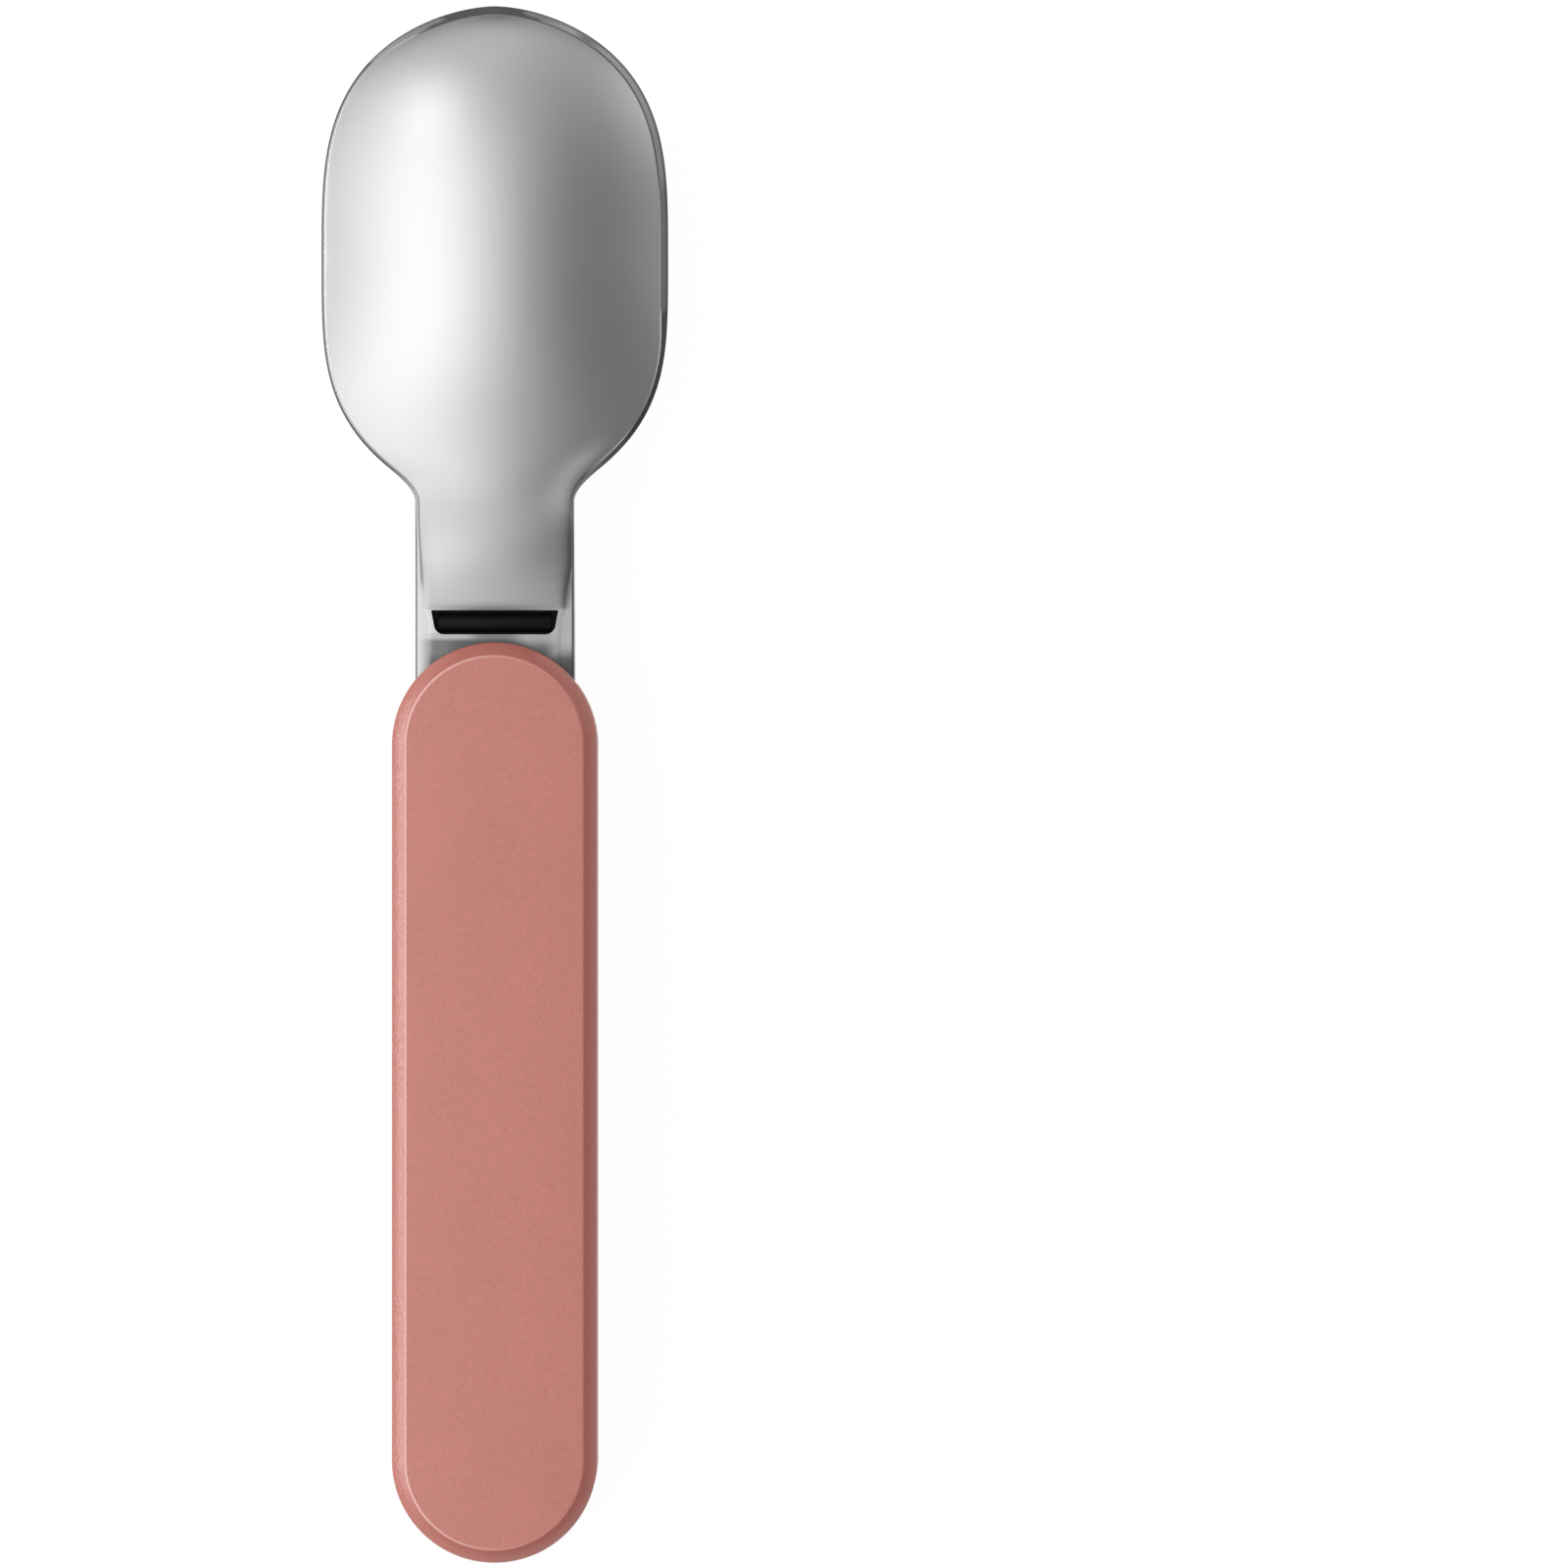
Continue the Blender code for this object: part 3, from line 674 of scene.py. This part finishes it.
def open_web(built, lines):
    """Delete the squares between the ears, behind the start of the web."""
    last = sum(1 for y, _ in ROWS if y < WEB_START_Y - 0.01)
    gone = set()
    for row in range(last):
        for column in range(WALL_POINTS, len(lines[row]) - WALL_POINTS - 1):
            corner_set = {lines[row][column], lines[row][column + 1],
                          lines[row + 1][column], lines[row + 1][column + 1]}
            for face in lines[row][column].link_faces:
                if set(face.verts) == corner_set:
                    gone.add(face)
    bmesh.ops.delete(built, geom=list(gone), context="FACES")


def open_edges(built):
    """How many edges don't lie between exactly two faces: none, on a closed solid."""
    return sum(1 for edge in built.edges if len(edge.link_faces) != 2)


def sheet_mesh():
    """The two nets of the sheet, joined round the rim and the ears."""
    built = bmesh.new()
    for row_points in (outer_row, inner_row):
        lines = lay_grid(built, row_points)
        open_web(built, lines)
    bmesh.ops.remove_doubles(built, verts=built.verts, dist=WELD_DISTANCE)
    loose = [v for v in built.verts if not v.link_faces]
    bmesh.ops.delete(built, geom=loose, context="VERTS")
    border = [edge for edge in built.edges if edge.is_boundary]
    print("border edges", len(border))
    bmesh.ops.bridge_loops(built, edges=border)
    bmesh.ops.dissolve_degenerate(built, edges=built.edges, dist=WELD_DISTANCE)
    bmesh.ops.recalc_face_normals(built, faces=built.faces)
    print("open edges of the sheet", open_edges(built))
    return built


spoon_head = to_object(sheet_mesh(), "spoon_head_sheet")

# %% [markdown]
# ### Window and pin bores
# The window and the bores are punched through the sheet. They could be holes in the
# nets, but their round corners would then need rows of their own all over the head. So
# they are cut with tools: a prism with round lower corners, and a cylinder on the
# pin's line.

# %% Tools for cutting
PIN_RADIUS, BORE_RADIUS = 1.0, 1.3
ROD_SEGMENTS, CORNER_SEGMENTS = 64, 6


def push_face(built, face, rise):
    """Extrude a face upwards and return the moved face."""
    moved = bmesh.ops.extrude_face_region(built, geom=[face])["geom"]
    bmesh.ops.translate(built, vec=(0, 0, rise),
                        verts=[item for item in moved if isinstance(item, bmesh.types.BMVert)])
    return next(item for item in moved if isinstance(item, bmesh.types.BMFace))


def rounded_polygon_prism(name, corners, radii, low, high):
    """A prism from a polygon whose corners are rounded by the bevel operator."""
    built = bmesh.new()
    ring = [built.verts.new((x, y, low)) for x, y in corners]
    built.faces.new(ring)
    for vertex, radius in zip(ring, radii):
        if radius:
            bmesh.ops.bevel(built, geom=[vertex], offset=radius, segments=CORNER_SEGMENTS,
                            profile=0.5, affect="VERTICES", material=-1)
    push_face(built, built.faces[:][0], high - low)
    bmesh.ops.recalc_face_normals(built, faces=built.faces)
    return to_object(built, name)


def rod(radius, half_length):
    """A cylinder along X on the pin's line, made as a cone with two equal radii."""
    built = bmesh.new()
    bmesh.ops.create_cone(built, cap_ends=True, segments=ROD_SEGMENTS, radius1=radius,
                          radius2=radius, depth=2 * half_length)
    bmesh.ops.rotate(built, cent=(0, 0, 0), verts=built.verts,
                     matrix=Matrix.Rotation(math.pi / 2, 3, "Y"))
    bmesh.ops.translate(built, vec=(0, PIN_Y, PIN_Z), verts=built.verts)
    return built


# %% Cut the window and the bores
WINDOW_TOP_HALF, WINDOW_LOW_HALF = 6.3, 5.85
WINDOW_RADII = (0.12, 0.8, 0.8, 0.12)

window = [(-WINDOW_TOP_HALF, WINDOW_HIGH_Y), (-WINDOW_LOW_HALF, WINDOW_LOW_Y),
          (WINDOW_LOW_HALF, WINDOW_LOW_Y), (WINDOW_TOP_HALF, WINDOW_HIGH_Y)]
cut(spoon_head, rounded_polygon_prism("window_tool", window, WINDOW_RADII, 4.5, 9))
cut(spoon_head, to_object(rod(BORE_RADIUS, 10), "bore_tool"))
print("faces of the sheet after the cuts", len(spoon_head.data.polygons))

# %% [markdown]
# ### Painted shade at the edge and on the neck
# A polishing wheel misses the sheared edge, the creases and the narrow places beside the
# window, so these are made rougher. They are also painted darker as shade and dark
# reflection: thin dark lines, a crescent at the tip, a broad band on the right, a darker
# neck, and a strip near the handle that carries the handle's painted shadow. They could
# be pieces or cuts of their own, but they are only a change of finish. So each point of
# the mesh gets a mark from 0, polished, to 1, rough and darkest, by its distance from the
# outline.

# %% Marks of the bowl's edge
FULL_MARK = 0.85
OUTER_LINE, INNER_LINE, LEFT_LINE, CREASE_MARGIN = 0.06, 0.1, 0.14, 0.12
AT_CREASE = 0.02


def tip_mark(x, distance, band):
    """How dark the painted reflection at the tip is: a crescent that grows out of the crease and
    back into it.
    """
    share = rising(x, -9.2, 6) * falling(x, 1, 6)
    return FULL_MARK * min(max((distance - band * (1 - share)) / 0.15, 0), 1)


def left_rim_mark(y, distance, band):
    """A painted dark hairline that darkens above the neck's corner, and a thin painted line at
    the tip.
    """
    hairline = blend(0.5, 1.0, rising(y, 29, 3)) if distance < LEFT_LINE else 0.5
    lower = hairline if distance < band - AT_CREASE else 0.3
    upper = FULL_MARK if distance < OUTER_LINE else 0.15
    return blend(lower, upper, rising(y, 71, 3))


def right_rim_mark(y, distance, band):
    """A broad band of painted dark reflection beside the bowl, and a painted double line at its
    corner and its tip.
    """
    on_line = distance < OUTER_LINE or abs(distance - band) < INNER_LINE
    double_line = FULL_MARK if on_line else 0.1
    if y < 47:
        dark_band = FULL_MARK if distance < band - CREASE_MARGIN else 0
        lower = blend(double_line, dark_band, rising(y, 29.5, 3))
    elif distance > band - CREASE_MARGIN:
        lower = 0.75 if distance < band - AT_CREASE else 0
    else:
        lower = 0.9 if distance < OUTER_LINE else 0.5
    return blend(lower, double_line, rising(y, 58, 3))


def rim_mark(x, y, distance, band):
    """How dark the painted reflection on the bowl's edge is, and how rough, at a distance from
    the outline.
    """
    if distance > band + AT_CREASE:
        return 0
    tip = tip_mark(x, distance, band) if y > 70 else 0
    beside = left_rim_mark if x < 0 else right_rim_mark
    return max(tip, beside(y, distance, band))


# %% Marks of the neck


def strip_mark(x, y):
    """How dark the handle's painted shadow on the strip below the window is: weaker at its lip
    and towards its ends.
    """
    middle = falling(x, 4.6, 2.8) if x > 0 else falling(-x, 5.9, 1.7)
    lip = 0.3 + 0.4 * falling(abs(x), 1, 2.5)
    full = 0.88 - 0.12 * rising(-x, 3, 2.5)
    fall = 0.5 + 0.9 * rising(x, 1, 3)
    return middle * blend(lip, full, ease((14.55 - y) / fall)) * ease((15.1 - y) / 0.3)


def neck_mark(x, y, distance, band):
    """How much painted shade the neck gets at its outline, on its right rail and near the handle.
    """
    # The handle's painted shadow, fading away from it.
    near_handle = 0.9 * ease((14 - y) / 2) * falling(-x, 6.2, 1)
    outline = 0.75 if distance < 0.17 else 0
    rail = 0.4 * rising(y, 17.5, 2) if x > 0 and distance < band - 0.03 else 0
    return max(outline, rail, strip_mark(x, y), near_handle)


def panel_mark(x, y, beside):
    """How much painted shade the neck's panel gets, by the distance inside its crease: more on
    the right and in the left crease.
    """
    if beside < -0.03 or y < WINDOW_LOW_Y:
        return 0
    fade = falling(y, 26.5, 5.5) * (0.3 + 0.7 * rising(y, 17.2, 0.25))
    even = blend(0.31, 0.19, min(max((y - 18) / 8, 0), 1)) * fade
    share = max(1 - beside / 1.3, 0) * rising(y, 17, 4) * falling(y, 24.5, 4)
    corner = 0.14 * ease(-x / 7) * rising(y, 24, 4.5) * falling(y, 28.5, 3)
    on_left_crease = x < 0 and beside < 0.03
    crease = 0.5 * rising(y, 18.5, 2.5) * falling(y, 30, 2) if on_left_crease else 0
    return even + corner + crease + (0.45 if x > 0 else 0.12) * share


# %% Mark the rough places and their painted shade


def mark_rough_and_painted_shade(piece):
    """Mark painted shade and dark reflections on the rim, the creases and the neck, which are
    also rougher.
    """
    marks = piece.data.attributes.new("rough_and_painted_shade", "FLOAT", "POINT")
    outline = kdtree.KDTree(2 * len(ROWS))
    for row, (y, half) in enumerate(ROWS):
        for side in (-1, 1):
            outline.insert((side * half, y, 0), row)
    outline.balance()
    for vertex in piece.data.vertices:
        place = vertex.co / MILLIMETRE
        _, row, distance = outline.find((place.x, place.y, 0))
        if vertex.normal.z < 0.05 and distance > 0.05:
            continue
        y = ROWS[row][0]
        band = edge_band(y, -1 if place.x < 0 else 1)
        neck = neck_mark(place.x, place.y, distance, band)
        bowl = rim_mark(place.x, y, distance, band)
        edge = blend(neck, bowl, rising(y, 24.5, 4))
        marks.data[vertex.index].value = max(edge, panel_mark(place.x, place.y, distance - band))
    print("marked points", sum(1 for mark in marks.data if mark.value > 0))


# The head's rim, creases and neck get painted shade and painted dark reflections.
mark_rough_and_painted_shade(spoon_head)
finish_piece(spoon_head, polished_steel, "head", "spoon_head", 42)

# %% [markdown]
# ## The handle
# The handle is a moulded shell with a flat face, a 45 degree chamfer and straight
# sides. It is a stadium: a circle whose two halves are pulled apart. It could be cut
# from a block, but extruding gives the sides at once, one bevel the chamfer and a
# second, small bevel the soft edge that every moulding has. Insets and pushes hollow it
# from behind.

# %% Handle shell
HANDLE_HALF, HANDLE_THICKNESS, TAIL_CENTRE_Y = 10.15, 9.4, -66.85
CHAMFER, CHAMFER_ROUND, STADIUM_SEGMENTS = 1.35, 0.16, 160
REBATE_HALF, SLOT_HALF, PLATE_TOP, CEILING = 9.15, 8.15, 1.5, 7.4


def stadium(built, half):
    """A flat stadium face from a circle whose halves are moved apart along Y."""
    made = bmesh.ops.create_circle(built, cap_ends=True, segments=STADIUM_SEGMENTS,
                                   radius=half)
    bmesh.ops.rotate(built, cent=(0, 0, 0), verts=made["verts"],
                     matrix=Matrix.Rotation(math.pi / STADIUM_SEGMENTS, 3, "Z"))
    for vertex in made["verts"]:
        vertex.co.y += PIN_Y if vertex.co.y > 0 else TAIL_CENTRE_Y
    return made["verts"][0].link_faces[0]


def level_edges(built, height):
    """The edges that lie flat at a height."""
    return [edge for edge in built.edges
            if all(abs(vertex.co.z - height) < 1e-4 for vertex in edge.verts)]


def soften(built, edges, width, segments):
    """Bevel edges evenly, as a flat chamfer or as a round."""
    bmesh.ops.bevel(built, geom=edges, offset=width, segments=segments, profile=0.5,
                    affect="EDGES", material=-1)


def hollow(built, bottom, inset, rise):
    """Push the middle of the bottom face up into the body, and return its new bottom."""
    bmesh.ops.inset_region(built, faces=[bottom], thickness=inset, use_even_offset=True)
    pushed = push_face(built, bottom, rise)
    if bottom.is_valid:
        bmesh.ops.delete(built, geom=[bottom], context="FACES_ONLY")
    return pushed


def handle_shell():
    """The handle's outer shell, with the rebate for its back plate and the pocket."""
    built = bmesh.new()
    push_face(built, stadium(built, HANDLE_HALF), HANDLE_THICKNESS)
    bmesh.ops.recalc_face_normals(built, faces=built.faces)
    soften(built, level_edges(built, HANDLE_THICKNESS), CHAMFER, 1)
    edges = level_edges(built, HANDLE_THICKNESS) + level_edges(built, HANDLE_THICKNESS - CHAMFER)
    soften(built, edges, CHAMFER_ROUND, 4)
    bottom = min(built.faces, key=lambda face: face.calc_center_median().z)
    bottom = hollow(built, bottom, HANDLE_HALF - REBATE_HALF, PLATE_TOP)
    hollow(built, bottom, REBATE_HALF - SLOT_HALF, CEILING - PLATE_TOP)
    bmesh.ops.recalc_face_normals(built, faces=built.faces)
    print("open edges of the shell", open_edges(built))
    return built


shell = to_object(handle_shell(), "handle_shell")

# %% [markdown]
# ### Mouth, pin seats and painted edge highlight
# The pocket is open at the front, where the neck comes out, and the pin lies in two
# blind seats. Both are cut with tools, as on the head. The chamfer then gets its painted
# shade, and its upper edge a painted highlight that is strongest on the left, where the
# light comes from, and fades to the right.

# %% Finish the handle shell
BELOW_HANDLE, PAST_HANDLE_Y, SEAT_HALF_LENGTH = -2, 20, 9.35
CHAMFER_BOTTOM, CHAMFER_TOP = HANDLE_THICKNESS - 1.48, HANDLE_THICKNESS - 0.06
RIDGE_BOTTOM, RIDGE_TOP = HANDLE_THICKNESS - 0.1, HANDLE_THICKNESS - 0.002

mouth = [(-SLOT_HALF, PIN_Y), (SLOT_HALF, PIN_Y),
         (SLOT_HALF, PAST_HANDLE_Y), (-SLOT_HALF, PAST_HANDLE_Y)]
cut(shell, rounded_polygon_prism("mouth_tool", mouth, (0, 0, 0, 0), BELOW_HANDLE, CEILING))
cut(shell, to_object(rod(BORE_RADIUS, SEAT_HALF_LENGTH), "cradle_tool"))


def mark_heights(piece, name, low, high, left, right):
    """Mark the points between two heights for the material, from a left to a right value."""
    marks = piece.data.attributes.new(name, "FLOAT", "POINT")
    for vertex in piece.data.vertices:
        place = vertex.co / MILLIMETRE
        if low < place.z < high:
            marks.data[vertex.index].value = blend(left, right, rising(place.x, -9, 18))
    print(name, "points", sum(1 for mark in marks.data if mark.value > 0))


# Painted shade on the whole chamfer.
mark_heights(shell, "chamfer", CHAMFER_BOTTOM, CHAMFER_TOP, 1.0, 1.0)
# A painted highlight on the chamfer's upper edge, strongest on the left, where the light comes
# from.
mark_heights(shell, "painted_highlight", RIDGE_BOTTOM, RIDGE_TOP, 1.0, 0.1)
finish_piece(shell, rose_plastic, "handle", "handle_cover")

# %% [markdown]
# ## The pieces inside
# The back plate closes the handle, the leaf spring presses on the black insert, and the
# insert turns with the neck on the pin. They could be built anew, but their CAD shapes
# are already right. So a copy of each node is merged, and the edges of the plate and the
# insert get the small round of a real moulding. The flat faces stay triangles, because
# one large face that goes round the pocket would close it. The pin is a rod with rounded ends.

# %% Softened copies of CAD nodes
SHARP_DEGREES, NODE_WELD = 50, 0.001
PLATE_ROUND, INSERT_ROUND, PIN_ROUND, PIN_HALF_LENGTH = 0.08, 0.1, 0.12, 9.05


def softened_copy(node_name, name, width, look, body):
    """Copy a CAD node, merge it, and round its edges when a width is given."""
    built = bmesh.new()
    built.from_mesh(nodes[node_name].data)
    bmesh.ops.scale(built, vec=(1 / MILLIMETRE,) * 3, verts=built.verts)
    bmesh.ops.remove_doubles(built, verts=built.verts, dist=NODE_WELD)
    if width:
        sharp = [edge for edge in built.edges if len(edge.link_faces) == 2
                 and edge.calc_face_angle() > math.radians(SHARP_DEGREES)]
        soften(built, sharp, width, 2)
    piece = to_object(built, name)
    finish_piece(piece, look, body, node_name)


softened_copy("handle_base", "back_plate", PLATE_ROUND, rose_plastic, "handle")
softened_copy("leaf_spring", "leaf_strip", 0, spring_steel, "handle")
softened_copy("hinge_insert", "insert_block", INSERT_ROUND, black_plastic, "head")
pin_built = rod(PIN_RADIUS, PIN_HALF_LENGTH)
soften(pin_built, [edge for edge in pin_built.edges if edge.calc_face_angle() > 1], PIN_ROUND, 3)
finish_piece(to_object(pin_built, "pin_rod"), pin_steel, "handle", "hinge_pin")

# %% [markdown]
# ## Floor
# A plain white floor. It lies just low enough for the bowl when it is folded behind the
# handle. A floor that is only lit would come out grey or need too much light. So for the
# camera and in the steel's reflections most of its white is its own, which keeps the
# picture clean, and the rest is lit, which keeps the shadow.

# %% Floor
FLOOR_Z, FLOOR_HALF = -0.0082, 8
OWN_SHARE, OWN_STRENGTH, LIT_GREY = 0.94, 1.02, 0.96

built = bmesh.new()
bmesh.ops.create_grid(built, x_segments=1, y_segments=1, size=FLOOR_HALF)
bmesh.ops.translate(built, vec=(0, 0, FLOOR_Z), verts=built.verts)
floor_mesh = bpy.data.meshes.new("floor")
built.to_mesh(floor_mesh)
built.free()
floor = bpy.data.objects.new("floor", floor_mesh)
bpy.context.scene.collection.objects.link(floor)

floor_look = bpy.data.materials.new("floor_white")
floor_look.use_nodes = True
tree = floor_look.node_tree
tree.nodes.clear()
path = add_node(tree, "ShaderNodeLightPath")
seen = calculate(tree, "MAXIMUM", path.outputs["Is Camera Ray"], path.outputs["Is Glossy Ray"])
seen = calculate(tree, "MAXIMUM", seen, path.outputs["Is Transmission Ray"])
share = calculate(tree, "MULTIPLY", seen, OWN_SHARE)
lit = add_node(tree, "ShaderNodeBsdfDiffuse", Color=(LIT_GREY,) * 3 + (1,)).outputs[0]
own = add_node(tree, "ShaderNodeEmission", Color=(1, 1, 1, 1), Strength=OWN_STRENGTH).outputs[0]
mixed = add_node(tree, "ShaderNodeMixShader", _0=share, _1=lit, _2=own).outputs[0]
clear = add_node(tree, "ShaderNodeBsdfTransparent").outputs[0]
behind = add_node(tree, "ShaderNodeNewGeometry").outputs["Backfacing"]
mixed = add_node(tree, "ShaderNodeMixShader", _0=behind, _1=mixed, _2=clear).outputs[0]
tree.links.new(mixed, add_node(tree, "ShaderNodeOutputMaterial").inputs["Surface"])
floor_mesh.materials.append(floor_look)
floor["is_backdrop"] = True
print("floor at", FLOOR_Z)

# %% [markdown]
# ## Studio sky
# The steel shows what stands round it: a wide soft light high on the left, a dim side
# on the right, an even ceiling, and a dark band along the horizon with a low strip of
# light on the left. These could be lamps and cards, but smooth lobes of one world sky
# have no edges to mirror, and they light the plastic and shade the steel in the same way.

# %% World
# A lobe is its azimuth and elevation in degrees, its tightness and its strength.
SKY_LOBES = ((191, 49, 2.83, 1.32), (-17, 47, 2.1, -0.44), (134, 38, 21, 0.51),
             (27, -5, 15, 0.91), (-90, 12, 7, -0.5), (90, 16, 14, 0.17))
CEILING_TIGHTNESS, CEILING_LIGHT, EVEN_LIGHT, LEAST_LIGHT = 1.0, 0.142, 0.563, 0.03
HORIZON_NARROWNESS, HORIZON_DIMMING = -70.0, 0.8
STRIP_DIRECTION, STRIP_TIGHTNESS, STRIP_LIGHT = (-1, 0.05, 0), 7.0, 10.0

world = bpy.data.worlds.new("studio")
world.use_nodes = True
bpy.context.scene.world = world
tree = world.node_tree
tree.nodes.clear()


def lobe(direction, tightness, strength):
    """A soft patch of light in one direction: strength times exp(tightness (cos - 1))."""
    facing = add_node(tree, "ShaderNodeVectorMath", {"operation": "DOT_PRODUCT"}, _0=sky,
                      _1=Vector(direction).normalized()).outputs["Value"]
    power = calculate(tree, "MULTIPLY_ADD", facing, tightness, -tightness)
    return calculate(tree, "MULTIPLY", calculate(tree, "EXPONENT", power), strength)


def direction_of(azimuth, elevation):
    """The unit vector towards an azimuth, counted from +X to +Y, and an elevation."""
    turn, rise = math.radians(azimuth), math.radians(elevation)
    return math.cos(rise) * math.cos(turn), math.cos(rise) * math.sin(turn), math.sin(rise)


sky = add_node(tree, "ShaderNodeTexCoord").outputs["Generated"]
total = lobe((0, 0, 1), CEILING_TIGHTNESS, CEILING_LIGHT)
for azimuth, elevation, tightness, strength in SKY_LOBES:
    patch = lobe(direction_of(azimuth, elevation), tightness, strength)
    total = calculate(tree, "ADD", total, patch)
total = calculate(tree, "MAXIMUM", calculate(tree, "ADD", total, EVEN_LIGHT), LEAST_LIGHT)

height = add_node(tree, "ShaderNodeSeparateXYZ", Vector=sky).outputs["Z"]
squared = calculate(tree, "MULTIPLY", height, height)
low_share = calculate(tree, "EXPONENT", calculate(tree, "MULTIPLY", squared, HORIZON_NARROWNESS))
dimmed = calculate(tree, "SUBTRACT", 1.0, calculate(tree, "MULTIPLY", low_share, HORIZON_DIMMING))
total = calculate(tree, "MULTIPLY", total, dimmed)
strip = lobe(STRIP_DIRECTION, STRIP_TIGHTNESS, STRIP_LIGHT)
strip = calculate(tree, "MULTIPLY", strip, calculate(tree, "POWER", low_share, 3.0))
total = calculate(tree, "ADD", total, strip)

path = add_node(tree, "ShaderNodeLightPath")
light = add_node(tree, "ShaderNodeBackground", Color=(1, 1, 1, 1), Strength=total).outputs[0]
white = add_node(tree, "ShaderNodeBackground", Color=(1, 1, 1, 1), Strength=1.0).outputs[0]
mixed = add_node(tree, "ShaderNodeMixShader", _0=path.outputs["Is Camera Ray"], _1=light,
                 _2=white).outputs[0]
tree.links.new(mixed, add_node(tree, "ShaderNodeOutputWorld").inputs["Surface"])
print("sky nodes", len(tree.nodes))

bpy.context.scene.view_settings.view_transform = "Standard"

# %% [markdown]
# ## The sizes
# The boxes of the CAD model and of the dressed spoon are both printed.

# %% Sizes and finish
looks_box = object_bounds()
for low, high in (cad_box, looks_box):
    print([round(1000 * value, 2) for value in (*low, *high)])
